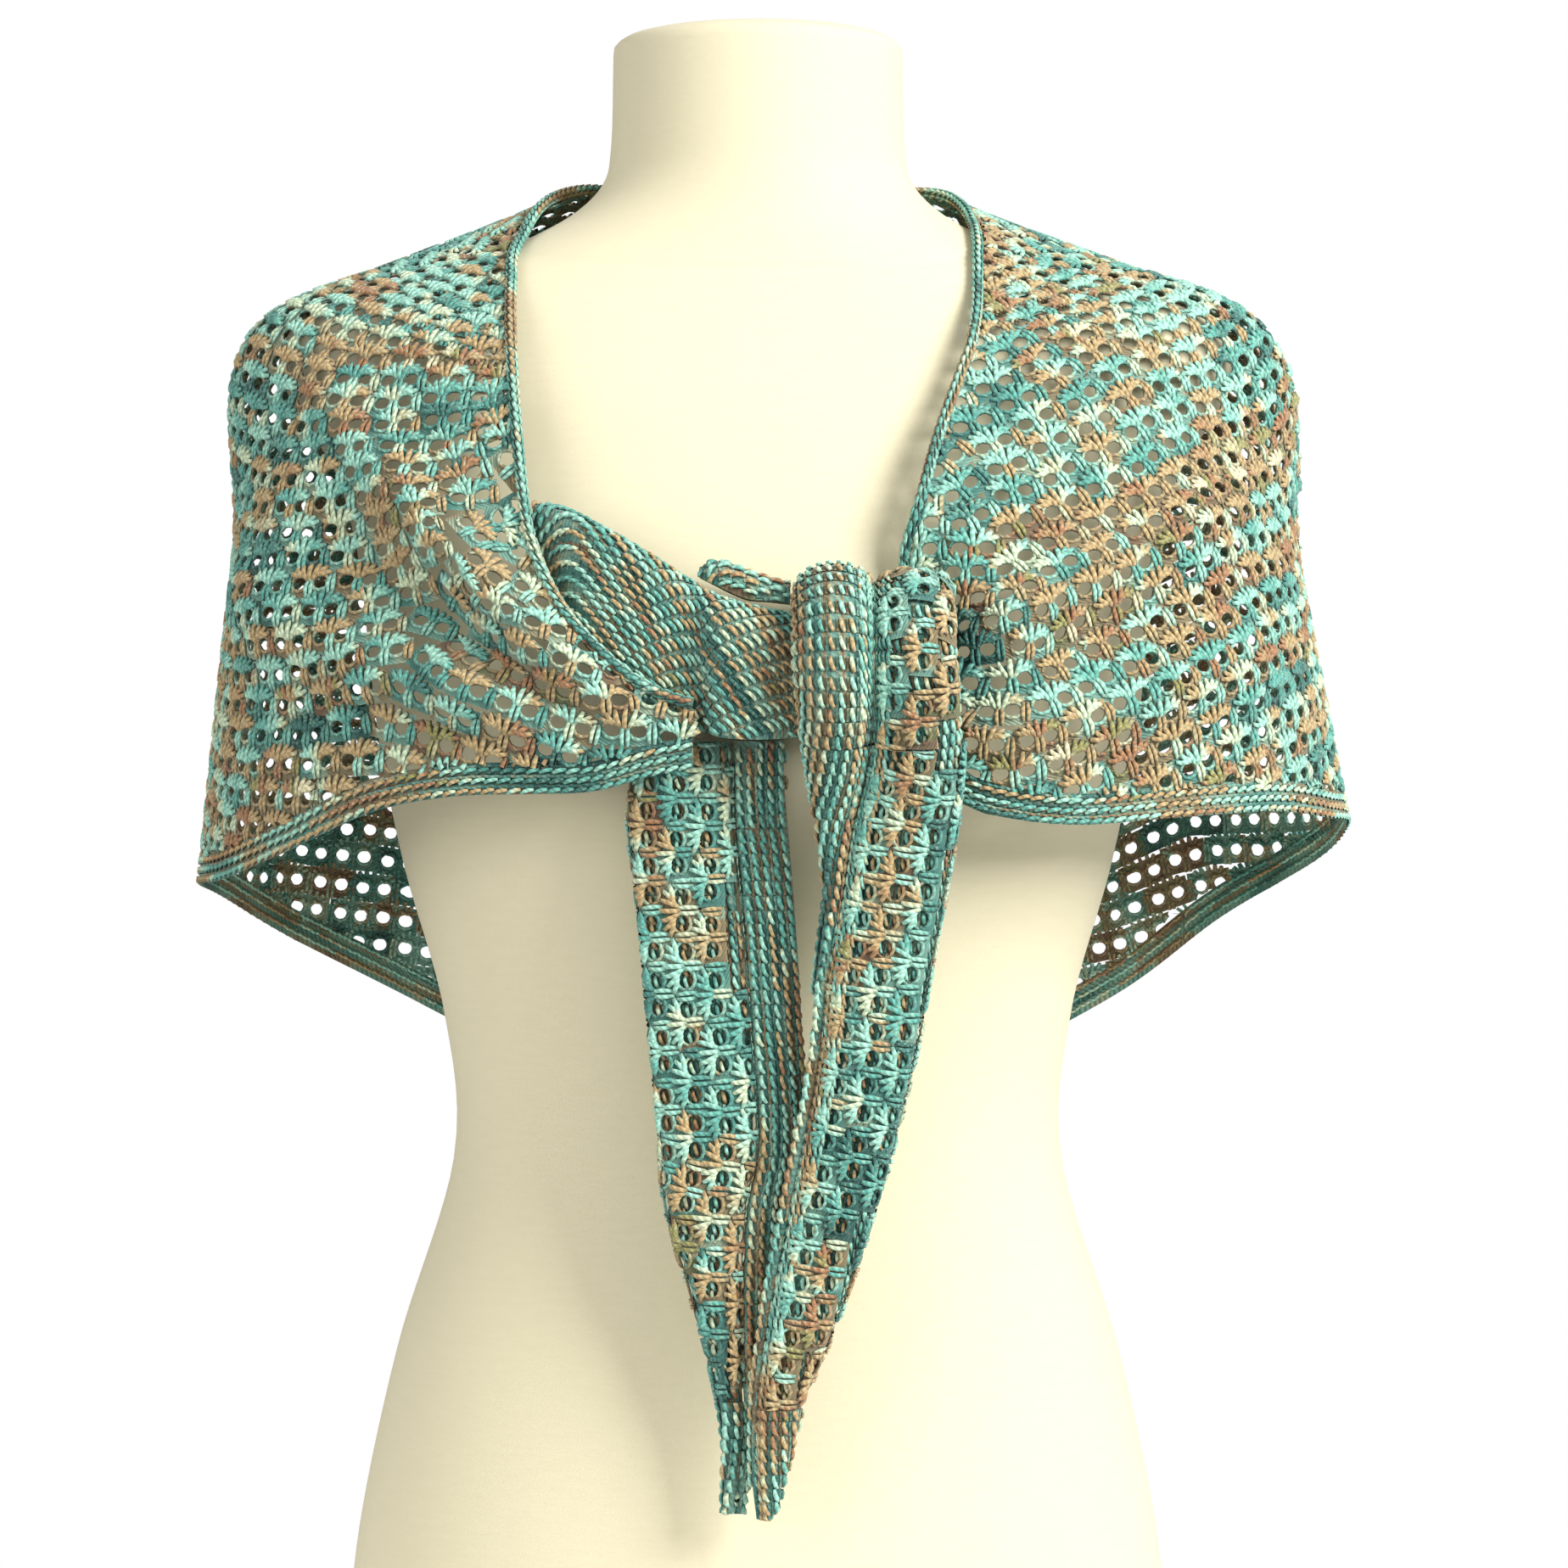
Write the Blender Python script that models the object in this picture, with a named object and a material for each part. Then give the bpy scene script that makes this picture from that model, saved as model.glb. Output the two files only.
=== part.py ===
"""Knitted shawl, tied in front, on a limbless dress form.

Metres, +Z up. The origin is the centre of the form's flat base, and -Y is the front.
Sizes below are in millimetres and turned into metres when a mesh is made.
"""

import math

import bmesh
import bpy
import numpy as np
from mathutils import Vector
from mathutils.bvhtree import BVHTree

MM = 0.001
SEAM = 0.3  # clear space between neighbouring pieces

# Dress form
FORM_SIDES = 32
FORM_RINGS = 36
FORM_SECTIONS = [
    # height, half width, front, back, roundness
    (0, 169, -108, 118, 2.2),
    (60, 172, -112, 121, 2.2),
    (120, 168, -111, 118, 2.2),
    (200, 151, -101, 99, 2.2),
    (280, 127, -92, 79, 2.2),
    (340, 131, -97, 80, 2.2),
    (400, 147, -112, 89, 2.3),
    (450, 157, -123, 97, 2.3),
    (490, 162, -122, 102, 2.3),
    (530, 167, -112, 105, 2.4),
    (565, 177, -100, 104, 2.4),
    (592, 194, -89, 99, 2.4),
    (611, 202, -79, 92, 2.3),
    (627, 196, -71, 85, 2.2),
    (639, 171, -65, 80, 2.1),
    (650, 137, -60, 76, 2.1),
    (661, 106, -57, 72, 2.0),
    (673, 81, -54, 70, 2.0),
    (687, 66, -52, 67, 2.0),
    (704, 62, -51, 65, 2.0),
    (742, 61, -50, 63, 2.0),
]
FORM_CAP = [
    # height, share of the neck's width that is left
    (747, 0.965),
    (749.3, 0.88),
    (750, 0.70),
]

# Shawl body: one row for each section, from the knot round the left shoulder, the back and
# the right shoulder to the knot again. Points are (x, y, z).
WALL = 2.2
CLEAR_OF_FORM = 1.0  # from the form's facets to the wall's inner face
SECTIONS = [
    # neckline, over the shoulder, middle, hem
    ((-24, -152, 467), (-24, -154, 460), (-24, -154, 450), (-24, -151, 441)),
    ((-37, -150, 471), (-37, -153, 463), (-38, -153, 452), (-40, -149, 438)),
    ((-53, -147, 481), (-55, -151, 469), (-58, -151, 449), (-63, -145, 432)),
    ((-73, -141, 502), (-76, -147, 483), (-82, -147, 458), (-90, -141, 431)),
    ((-86, -130, 529), (-93, -138, 502), (-105, -141, 467), (-119, -134, 430)),
    ((-91, -117, 557), (-104, -124, 529), (-128, -128, 478), (-151, -118, 424)),
    ((-95, -99, 592), (-122, -103, 565), (-163, -104, 490), (-188, -92, 408)),
    ((-98, -72, 627), (-155, -68, 607), (-203, -64, 525), (-219, -50, 396)),
    ((-98, -36, 653), (-205, -22, 625), (-219, -10, 530), (-235, 0, 393)),
    ((-90, -2, 677), (-207, 16, 625), (-219, 35, 525), (-231, 48, 386)),
    ((-75, 32, 689), (-184, 48, 630), (-203, 78, 520), (-209, 92, 368)),
    ((-52, 58, 692), (-120, 84, 632), (-150, 118, 500), (-160, 126, 340)),
    ((-28, 71, 694), (-62, 100, 628), (-78, 130, 480), (-85, 140, 300)),
    ((0, 75, 694), (0, 106, 625), (0, 136, 460), (0, 146, 262)),
    ((28, 71, 694), (62, 100, 628), (78, 130, 480), (85, 140, 300)),
    ((52, 58, 692), (120, 84, 632), (150, 118, 500), (160, 126, 340)),
    ((77, 32, 687), (185, 48, 632), (207, 78, 520), (205, 98, 376)),
    ((87, -2, 674), (207, 14, 627), (226, 35, 530), (243, 52, 403)),
    ((88, -34, 657), (205, -22, 627), (226, -6, 530), (249, 6, 418)),
    ((88, -65, 633), (160, -64, 612), (212, -54, 525), (236, -38, 421)),
    ((85, -84, 613), (140, -90, 585), (188, -92, 510), (212, -74, 424)),
    ((79, -95, 596), (118, -106, 560), (158, -114, 495), (184, -101, 423)),
    ((70, -110, 571), (100, -122, 535), (130, -129, 480), (156, -118, 421)),
    ((63, -122, 545), (85, -131, 515), (108, -142, 470), (128, -130, 419)),
    ((57, -120, 522), (74, -127, 500), (88, -142, 463), (103, -138, 421)),
    ((60, -118, 509), (67, -121, 493), (72, -138, 462), (80, -141, 427)),
    ((54, -119, 500), (55, -122, 488), (56, -131, 466), (58, -138, 446)),
]
STRETCHES = [
    # name, first section, last section
    ("left_front", 0.0, 6.4),
    ("left_shoulder", 6.4, 10.4),
    ("back", 10.4, 15.6),
    ("right_shoulder", 15.6, 19.6),
    ("right_front", 19.6, 26.0),
]
COLUMN_STEP = 17.0
BODY_ROWS = 13
SURFACE_ROWS = 40  # rows of the surface that the body, border and edge are read from
CURVE_POINTS = 48  # along one section's curve

# Ridges and troughs of the body, each along a line between two sections
FOLDS = [
    # first section, share of the way to the hem, last section, share, half width, height
    (7.4, 0.30, 0.6, 0.30, 13, 9),
    (7.0, 0.44, 1.5, 0.48, 10, -4),
    (7.6, 0.60, 1.8, 0.62, 13, 6),
    (7.2, 0.74, 3.0, 0.78, 12, -3),
    (18.8, 0.52, 25.0, 0.36, 13, 5),
    (19.0, 0.62, 25.0, 0.52, 10, -3),
    (19.2, 0.76, 25.0, 0.70, 12, 5),
    (8.6, 0.40, 10.2, 0.98, 22, 5),
    (10.6, 0.45, 11.2, 0.98, 24, -5),
    (11.6, 0.35, 12.2, 0.98, 24, 6),
    (14.6, 0.35, 13.9, 0.98, 24, 6),
    (15.6, 0.45, 15.0, 0.98, 24, -5),
    (17.6, 0.40, 16.4, 0.98, 22, 5),
]
FOLD_SPREAD = 0.16  # most of a section's length that a fold's half width may take
FOLD_LENGTH = 110  # sections shorter than this have lower folds

# Border along the hem, in garter ridges, and the cord of stitches along the neckline
BORDER_DEPTH = 12.0
BORDER_WALL = 2.8
RIDGE_COUNT = 3
RIDGE_HEIGHT = 0.9
EDGE_RADIUS = 2.1
EDGE_INSET = 1.3  # from the cloth's edge to the cord's middle
EDGE_CLEAR = 0.6
EDGE_SIDES = 6

# Roll of cloth that runs from the left panel's neckline edge into the knot, and the loop behind it
ROLL_WALL = 2.4
ROLL_ROWS = 17
ROLL_ARC_POINTS = 9  # over the top of the roll
ROLL = [
    # x, top, bottom, front, back
    (-87.5, 545, 536, -122.5, -117.5),
    (-77, 543, 508, -131, -120),
    (-66, 538, 488, -138, -123),
    (-45, 526, 468, -144, -127),
    (-31, 517, 459, -146.5, -128),
    (-21.5, 511, 456, -148, -129),
    (-14, 507, 453, -157, -130),
    (0, 503, 452, -158, -130),
    (16, 500, 453, -156, -131),
    (45, 497, 457, -151, -131),
]
LOOP_ROWS = 9
LOOP = [
    # x, top, bottom, front, back
    (-22, 520, 515.5, -136, -126),
    (-14, 521.5, 511.5, -139, -125),
    (-4, 518, 507, -140, -125),
    (5, 515, 506, -139, -126),
    (13.4, 513, 505, -138, -127),
]
ROLL_PLEATS = 3
ROLL_PLEAT_HEIGHT = 1.3

# Wrap over the knot, and the two ends that hang from it: cloth folded lengthwise in two humps
RIGHT_ROUTE = [
    # left x, right x, y, z, crease share, left hump, right hump
    (15.5, 76.3, -133, 505.3, 0.50, 10, 9),
    (15.5, 77, -140, 508, 0.50, 12, 10),
    (15, 77, -149, 506, 0.49, 13, 12),
    (15, 77.5, -159, 497, 0.49, 14, 13),
    (15, 78.5, -164, 482, 0.48, 14, 14),
    (16.5, 79.5, -162, 467, 0.46, 14, 14),
    (18, 80.5, -157, 452, 0.42, 12, 14),
    (20.5, 80, -151, 436, 0.36, 9, 13),
    (23.5, 78.5, -147, 418, 0.26, 6, 11),
    (26.5, 74, -145, 393, 0.16, 4, 9),
    (23, 68, -143, 360, 0.12, 3, 8),
    (20, 61, -141, 325, 0.12, 2, 7.5),
    (10, 47.5, -139, 272, 0.12, 2, 6.5),
    (2.5, 33, -137.5, 229, 0.12, 1.5, 6),
    (-1.5, 19.5, -136.5, 196, 0.15, 1.5, 5),
    (-1.8, 12, -136, 167, 0.2, 1.5, 4),
    (0, 7, -136, 149, 0.3, 1, 3),
]
WRAP_END = 6  # the row of the right route where the wrap ends and the hanging tail begins
LEFT_ROUTE = [
    (-47, 11, -131.2, 451.6, 0.66, 9, 6),
    (-49.5, 11.5, -131, 433, 0.66, 11, 5),
    (-50.5, 13, -130.5, 416, 0.66, 9, 4),
    (-46.5, 15.5, -130, 384, 0.66, 6, 3.5),
    (-43, 18, -129, 344, 0.66, 5.5, 3),
    (-38, 20, -128.5, 295, 0.66, 5, 3),
    (-35.5, 12, -128.5, 269, 0.66, 5, 3),
    (-26, 5, -128.5, 236, 0.66, 4.5, 2.5),
    (-18, 1.5, -128.5, 208, 0.66, 4, 2.5),
    (-13, 0, -128.5, 180, 0.66, 3.5, 2),
    (-13, -5, -128.5, 150, 0.6, 2.5, 2),
]
STRIP_WALL = 2.2
STRIP_ROW_STEP = 13.0
HUMP_FULLNESS = 0.8  # below 1 the humps are fuller than round
CREASE_DEPTH = 0.45  # of the lower hump's height, left at the crease between the humps
STRIP_NUDGE = 0.1  # of a table row to either side of a place, for the wall's direction there
HUMP_COLUMNS = 6
BACK_LAYER = 3.4  # how far the folded-under layer lies behind the strip's side edges
BACK_COLUMNS = 3
BACK_REACH = 0.62  # of the strip's width

MATERIALS = {
    # colour, roughness
    "form_cloth": ((0.90, 0.87, 0.76), 0.85),
    "lace_knit": ((0.36, 0.62, 0.58), 0.9),
    "garter_knit": ((0.55, 0.56, 0.42), 0.9),
}


def clear_scene():
    for item in list(bpy.data.objects):
        bpy.data.objects.remove(item)


def material(name):
    found = bpy.data.materials.get(name)
    if found:
        return found
    colour, roughness = MATERIALS[name]
    made = bpy.data.materials.new(name)
    made.use_nodes = True
    shader = made.node_tree.nodes["Principled BSDF"]
    shader.inputs["Base Color"].default_value = (*colour, 1.0)
    shader.inputs["Roughness"].default_value = roughness
    return made


def add_object(name, points, faces, finish):
    """Makes a closed mesh from points in millimetres, with its faces turned outwards."""
    mesh = bpy.data.meshes.new(name)
    mesh.from_pydata([tuple(p) for p in np.asarray(points) * MM], [], faces)
    work = bmesh.new()
    work.from_mesh(mesh)
    bmesh.ops.recalc_face_normals(work, faces=work.faces)
    work.to_mesh(mesh)
    work.free()
    mesh.shade_smooth()
    mesh.set_sharp_from_angle(angle=math.radians(50))
    mesh.materials.append(material(finish))
    item = bpy.data.objects.new(name, mesh)
    bpy.context.scene.collection.objects.link(item)
    return item


def through(points, at):
    """A smooth curve through points, read at places counted in points."""
    points = np.asarray(points, float)
    at = np.clip(np.asarray(at, float), 0, len(points) - 1)
    first = np.minimum(at.astype(int), len(points) - 2)
    share = (at - first)[..., None]
    ends = np.vstack([2 * points[0] - points[1], points, 2 * points[-1] - points[-2]])
    a, b, c, d = (ends[first + k] for k in range(4))
    bend = 2 * a - 5 * b + 4 * c - d
    twist = 3 * b - a - 3 * c + d
    return b + share * (c - a) / 2 + share**2 * bend / 2 + share**3 * twist / 2


def lengths(points):
    steps = np.linalg.norm(np.diff(points, axis=0), axis=1)
    return np.concatenate([[0.0], np.cumsum(steps)])


def at_lengths(points, wanted):
    """Points of a polyline at given distances from its start."""
    run = lengths(points)
    return np.stack([np.interp(wanted, run, points[:, k]) for k in range(3)], axis=1)


def oval(half_width, front, back, roundness, sides):
    """A level ring with a flatter or rounder outline, seen from above."""
    angles = np.arange(sides) * 2 * math.pi / sides
    power = 2 / roundness
    across = np.sign(np.cos(angles)) * np.abs(np.cos(angles)) ** power
    along = np.sign(np.sin(angles)) * np.abs(np.sin(angles)) ** power
    middle = (front + back) / 2
    reach = (back - front) / 2
    return np.stack([half_width * across, middle + reach * along], axis=1)


def form_rings():
    table = np.array(FORM_SECTIONS, float)
    heights = table[:, 0]
    run = lengths(np.stack([heights, table[:, 1], table[:, 3]], axis=1))
    places = np.interp(np.linspace(0, run[-1], FORM_RINGS), run, np.arange(len(table)))
    rings = []
    for height, half_width, front, back, roundness in through(table, places):
        ring = oval(half_width, front, back, roundness, FORM_SIDES)
        rings.append(np.column_stack([ring, np.full(FORM_SIDES, height)]))
    height, half_width, front, back, roundness = table[-1]
    for cap_height, share in FORM_CAP:
        middle = (front + back) / 2
        reach = (back - front) / 2 * share
        ring = oval(half_width * share, middle - reach, middle + reach, roundness, FORM_SIDES)
        rings.append(np.column_stack([ring, np.full(FORM_SIDES, cap_height)]))
    return rings


def build_form():
    rings = form_rings()
    points = np.vstack(rings)
    faces = [list(range(FORM_SIDES))[::-1]]
    for row in range(len(rings) - 1):
        for side in range(FORM_SIDES):
            here = row * FORM_SIDES + side
            beside = row * FORM_SIDES + (side + 1) % FORM_SIDES
            faces.append([here, beside, beside + FORM_SIDES, here + FORM_SIDES])
    top = (len(rings) - 1) * FORM_SIDES
    faces.append([top + side for side in range(FORM_SIDES)])
    return add_object("dress_form", points, faces, "form_cloth")


def surface_of(item):
    """The item's faces, for finding the nearest place on them, in millimetres."""
    points = [v.co / MM for v in item.data.vertices]
    faces = [tuple(p.vertices) for p in item.data.polygons]
    return BVHTree.FromPolygons(points, faces)


def kept_clear(points, surface, distance):
    """Points moved out until each is at least a distance from the surface's outside."""
    moved = np.array(points, float)
    for place in np.ndindex(moved.shape[:-1]):
        point = Vector(moved[place])
        nearest, normal, _, _ = surface.find_nearest(point)
        height = (point - nearest).dot(normal)
        if height < distance:
            moved[place] = np.array(nearest + normal * distance)
    return moved


def section_curve(place):
    """The body's section at a place counted in sections, from the neckline to the hem."""
    table = np.array(SECTIONS, float)
    corners = np.stack([through(table[:, k], [place])[0] for k in range(4)])
    run = lengths(corners) ** 0.5
    fine = np.linspace(0, run[-1], CURVE_POINTS)
    return through(corners, np.interp(fine, run, np.arange(4)))


def fold_height(place, share, length):
    """How far the folds lift the cloth at a section and share of the way to the hem."""
    lift = np.zeros_like(share)
    for start, start_share, end, end_share, half_width, height in FOLDS:
        along = (place - start) / (end - start)
        if not 0 < along < 1:
            continue
        fade = math.sin(math.pi * along) ** 0.6
        ridge = start_share + (end_share - start_share) * along
        narrow = min(half_width, FOLD_SPREAD * length)
        steep = min(1.0, length / FOLD_LENGTH)
        lift += height * fade * steep * np.exp(-(((share - ridge) * length / narrow) ** 2))
    return lift


def normals_of(grid):
    down = np.gradient(grid, axis=0)
    along = np.gradient(grid, axis=1)
    normal = np.cross(along, down)
    return normal / np.linalg.norm(normal, axis=2, keepdims=True)


def body_places():
    """Places along the body, counted in sections, and the column where each stretch starts."""
    places = [0.0]
    starts = [0]
    for _, first, last in STRETCHES:
        fine = np.linspace(first, last, 160)
        run = lengths(np.stack([section_curve(p)[CURVE_POINTS // 2] for p in fine]))
        count = max(4, round(run[-1] / COLUMN_STEP))
        places += list(np.interp(np.linspace(0, run[-1], count + 1), run, fine)[1:])
        starts.append(len(places) - 1)
    return places, starts


def body_grid(places, form):
    """The cloth's middle surface: rows from neckline to hem, a column for each place."""
    share = np.linspace(0, 1, SURFACE_ROWS)
    columns = []
    lifts = []
    for place in places:
        curve = section_curve(place)
        length = lengths(curve)[-1]
        columns.append(at_lengths(curve, share * length))
        lifts.append(fold_height(place, share, length))
    grid = np.stack(columns, axis=1)
    grid = grid + normals_of(grid) * np.stack(lifts, axis=1)[..., None]
    return kept_clear(grid, form, CLEAR_OF_FORM + WALL / 2)


def rows_between(grid, from_neck, from_hem, rows):
    """Rows of the cloth between two margins, measured square to the neckline and the hem."""
    columns = []
    slants = zip(slant_at(grid, 0), slant_at(grid, -1))
    for line, (neck_slant, hem_slant) in zip(grid.swapaxes(0, 1), slants):
        length = lengths(line)[-1]
        end = length - from_hem / hem_slant
        start = from_neck / neck_slant if from_neck >= 0 else length + from_neck / hem_slant
        columns.append(at_lengths(line, np.linspace(start, end, rows)))
    return np.stack(columns, axis=1)


def slant_at(grid, row):
    """The sine of the angle between each column and the grid's edge at its first or last row."""
    along = np.gradient(grid[row], axis=0)
    down = grid[1] - grid[0] if row == 0 else grid[-1] - grid[-2]
    area = np.linalg.norm(np.cross(along, down), axis=1)
    return area / np.linalg.norm(along, axis=1) / np.linalg.norm(down, axis=1)


def parted(grid, first, last):
    """The columns of one stretch, drawn in by half a seam where another stretch follows."""
    part = grid[:, first : last + 1].copy()
    if first > 0:
        step = part[:, 1] - part[:, 0]
        part[:, 0] += step / np.linalg.norm(step, axis=1, keepdims=True) * SEAM / 2
    if last < grid.shape[1] - 1:
        step = part[:, -2] - part[:, -1]
        part[:, -1] += step / np.linalg.norm(step, axis=1, keepdims=True) * SEAM / 2
    return part


def cloth_wall(name, grid, thickness, finish, raised=0.0, normal=None):
    """A wall of cloth on both sides of a grid, closed round its rim, its outer side raised where asked."""
    rows, columns = grid.shape[:2]
    normal = normals_of(grid) if normal is None else normal
    outer = grid + normal * (thickness / 2 + np.asarray(raised)[..., None])
    inner = grid - normal * thickness / 2
    points = np.vstack([outer.reshape(-1, 3), inner.reshape(-1, 3)])
    back = rows * columns
    faces = []
    for row in range(rows - 1):
        for column in range(columns - 1):
            a = row * columns + column
            b, c, d = a + 1, a + columns + 1, a + columns
            faces.append([a, b, c, d])
            faces.append([a + back, d + back, c + back, b + back])
    rim = list(range(columns))
    rim += [row * columns + columns - 1 for row in range(1, rows)]
    rim += [(rows - 1) * columns + column for column in range(columns - 2, -1, -1)]
    rim += [row * columns for row in range(rows - 2, 0, -1)]
    for here, beside in zip(rim, rim[1:] + rim[:1]):
        faces.append([here, beside, beside + back, here + back])
    return add_object(name, points, faces, finish)


def cord(name, line, radius, sides, finish):
    """A round cord along a line."""
    line = np.asarray(line, float)
    ahead = np.gradient(line, axis=0)
    ahead /= np.linalg.norm(ahead, axis=1, keepdims=True)
    across = np.cross(ahead, [0.0, 0.0, 1.0])
    across /= np.linalg.norm(across, axis=1, keepdims=True)
    upward = np.cross(across, ahead)
    points = []
    for k in range(sides):
        angle = 2 * math.pi * (k + 0.5) / sides
        points.append(line + radius * (math.cos(angle) * across + math.sin(angle) * upward))
    points = np.stack(points, axis=1).reshape(-1, 3)
    faces = [list(range(sides))[::-1]]
    for row in range(len(line) - 1):
        for side in range(sides):
            here = row * sides + side
            beside = row * sides + (side + 1) % sides
            faces.append([here, beside, beside + sides, here + sides])
    faces.append([(len(line) - 1) * sides + side for side in range(sides)])
    return add_object(name, points, faces, finish)


def build_body(form):
    places, starts = body_places()
    grid = body_grid(places, form)
    body = rows_between(grid, EDGE_INSET + EDGE_RADIUS + EDGE_CLEAR, BORDER_DEPTH + SEAM, BODY_ROWS)
    body_normals = normals_of(body)
    border = rows_between(grid, -BORDER_DEPTH, 0, 2 * RIDGE_COUNT + 1)
    border_normals = normals_of(border)
    relief = np.zeros(border.shape[:2])
    relief[1::2] = RIDGE_HEIGHT
    edge = rows_between(grid, EDGE_INSET, BORDER_DEPTH, 3)[:1]
    edge = edge + normals_of(grid)[:1] * (EDGE_RADIUS - WALL / 2)
    for (name, _, _), first, last in zip(STRETCHES, starts, starts[1:]):
        here = slice(first, last + 1)
        lace = parted(body, first, last)
        cloth_wall("lace_" + name, lace, WALL, "lace_knit", normal=body_normals[:, here])
        cloth_wall(
            "border_" + name,
            parted(border, first, last),
            BORDER_WALL,
            "garter_knit",
            relief[:, here],
            border_normals[:, here],
        )
        cord("neck_edge_" + name, parted(edge, first, last)[0], EDGE_RADIUS, EDGE_SIDES, "garter_knit")


def roll_grid(table, rows):
    """A fold of cloth, open below: up its back, over its top and down its front."""
    table = np.array(table, float)
    places = np.arange(2 * len(table) - 2, -1, -1) / 2
    columns = []
    for x, top, bottom, front, back in through(table, places):
        reach = (back - front) / 2
        rise = min(reach, (top - bottom) / 2)
        angles = np.linspace(0, math.pi, ROLL_ARC_POINTS)
        arc_y = (front + back) / 2 + reach * np.cos(angles)
        arc_z = top - rise + rise * np.sin(angles)
        line = [(x, back, bottom)]
        line += [(x, y, z) for y, z in zip(arc_y, arc_z)]
        line += [(x, front, bottom)]
        line = np.array(line)
        columns.append(at_lengths(line, np.linspace(0, lengths(line)[-1], rows)))
    return np.stack(columns, axis=1)


def build_knot():
    roll = roll_grid(ROLL, ROLL_ROWS)
    share = np.linspace(0, 1, ROLL_ROWS)
    wave = np.sin(2 * math.pi * ROLL_PLEATS * np.clip(share * 2 - 1, 0, 1)) ** 2
    fade = np.sin(np.linspace(0, math.pi, roll.shape[1])) ** 0.5
    relief = ROLL_PLEAT_HEIGHT * wave[:, None] * fade[None, :]
    cloth_wall("knot_roll", roll, ROLL_WALL, "lace_knit", relief)
    cloth_wall("knot_loop", roll_grid(LOOP, LOOP_ROWS), ROLL_WALL, "lace_knit")
    right_end = len(RIGHT_ROUTE) - 1
    left_end = len(LEFT_ROUTE) - 1
    build_strip("knot_wrap", RIGHT_ROUTE, 0, WRAP_END, 0)
    build_strip("tail_right", RIGHT_ROUTE, WRAP_END, right_end, 1)
    build_strip("tail_left", LEFT_ROUTE, 0, left_end, -1)


def build_strip(name, route, first, last, folded_side):
    """One stretch of a folded strip, drawn in by half a seam where another stretch meets it."""
    table = np.array(route, float)
    centre = np.column_stack([(table[:, 0] + table[:, 1]) / 2, table[:, 2], table[:, 3]])
    run = lengths(centre)
    count = round((run[last] - run[first]) / STRIP_ROW_STEP)
    wanted = np.linspace(run[first], run[last], count + 1)
    wanted[0] += SEAM if first > 0 else 0
    wanted[-1] -= SEAM if last < len(route) - 1 else 0
    places = np.interp(wanted, run, np.arange(len(table)))
    grid = strip_grid(table, places, folded_side)
    normal = []
    for place in places:
        middle = min(max(place, STRIP_NUDGE), len(table) - 1 - STRIP_NUDGE)
        around = np.array([middle - STRIP_NUDGE, middle, middle + STRIP_NUDGE])
        normal.append(normals_of(strip_grid(table, around, folded_side))[1])
    cloth_wall(name, grid, STRIP_WALL, "lace_knit", normal=np.array(normal))


def strip_grid(table, places, folded_side):
    """Cloth in two humps along a route. Its side layer is folded under at the left (-1) or right (1)."""
    values = through(table, places)
    ahead = through(table, places + STRIP_NUDGE) - through(table, places - STRIP_NUDGE)
    slope = ahead[:, 2:4] / np.linalg.norm(ahead[:, 2:4], axis=1, keepdims=True)
    angles = np.linspace(0, math.pi, HUMP_COLUMNS)
    rows = []
    for (left, right, y, z, crease, left_hump, right_hump), (dy, dz) in zip(values, slope):
        width = right - left
        line = []
        for start, end, height in ((0, crease, left_hump), (crease, 1, right_hump)):
            for angle in angles:
                share = (start + end) / 2 - math.cos(angle) * (end - start) / 2
                line.append((left + width * share, height * math.sin(angle) ** HUMP_FULLNESS))
        floor = CREASE_DEPTH * min(left_hump, right_hump)
        line[HUMP_COLUMNS - 1 : HUMP_COLUMNS + 1] = [(left + width * crease, floor)]
        under = []
        for k in range(1, BACK_COLUMNS + 1):
            reach = width * BACK_REACH * k / BACK_COLUMNS
            under.append((right - reach if folded_side > 0 else left + reach, -BACK_LAYER))
        if folded_side > 0:
            line = line + under
        elif folded_side < 0:
            line = under[::-1] + line
        rows.append([(x, y + dz * out, z - dy * out) for x, out in line])
    return np.array(rows)[:, ::-1]


def main():
    clear_scene()
    form = surface_of(build_form())
    build_body(form)
    build_knot()


main()
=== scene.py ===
import math

import bpy
import numpy as np
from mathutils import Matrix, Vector
from mathutils.bvhtree import BVHTree


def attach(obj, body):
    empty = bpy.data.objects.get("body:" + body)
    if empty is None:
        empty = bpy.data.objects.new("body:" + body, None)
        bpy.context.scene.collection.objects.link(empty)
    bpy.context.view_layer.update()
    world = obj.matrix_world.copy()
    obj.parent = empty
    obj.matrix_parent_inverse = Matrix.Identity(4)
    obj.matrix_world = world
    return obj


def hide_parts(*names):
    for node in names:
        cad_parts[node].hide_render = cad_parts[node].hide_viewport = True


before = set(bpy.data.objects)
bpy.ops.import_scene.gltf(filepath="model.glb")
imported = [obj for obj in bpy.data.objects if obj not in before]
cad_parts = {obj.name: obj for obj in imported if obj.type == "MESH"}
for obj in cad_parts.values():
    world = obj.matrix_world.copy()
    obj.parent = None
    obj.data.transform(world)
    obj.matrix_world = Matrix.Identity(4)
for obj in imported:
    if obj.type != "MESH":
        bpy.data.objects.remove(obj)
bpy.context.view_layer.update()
scene = bpy.context.scene
mm = 0.001
print("frame loaded")


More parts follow.
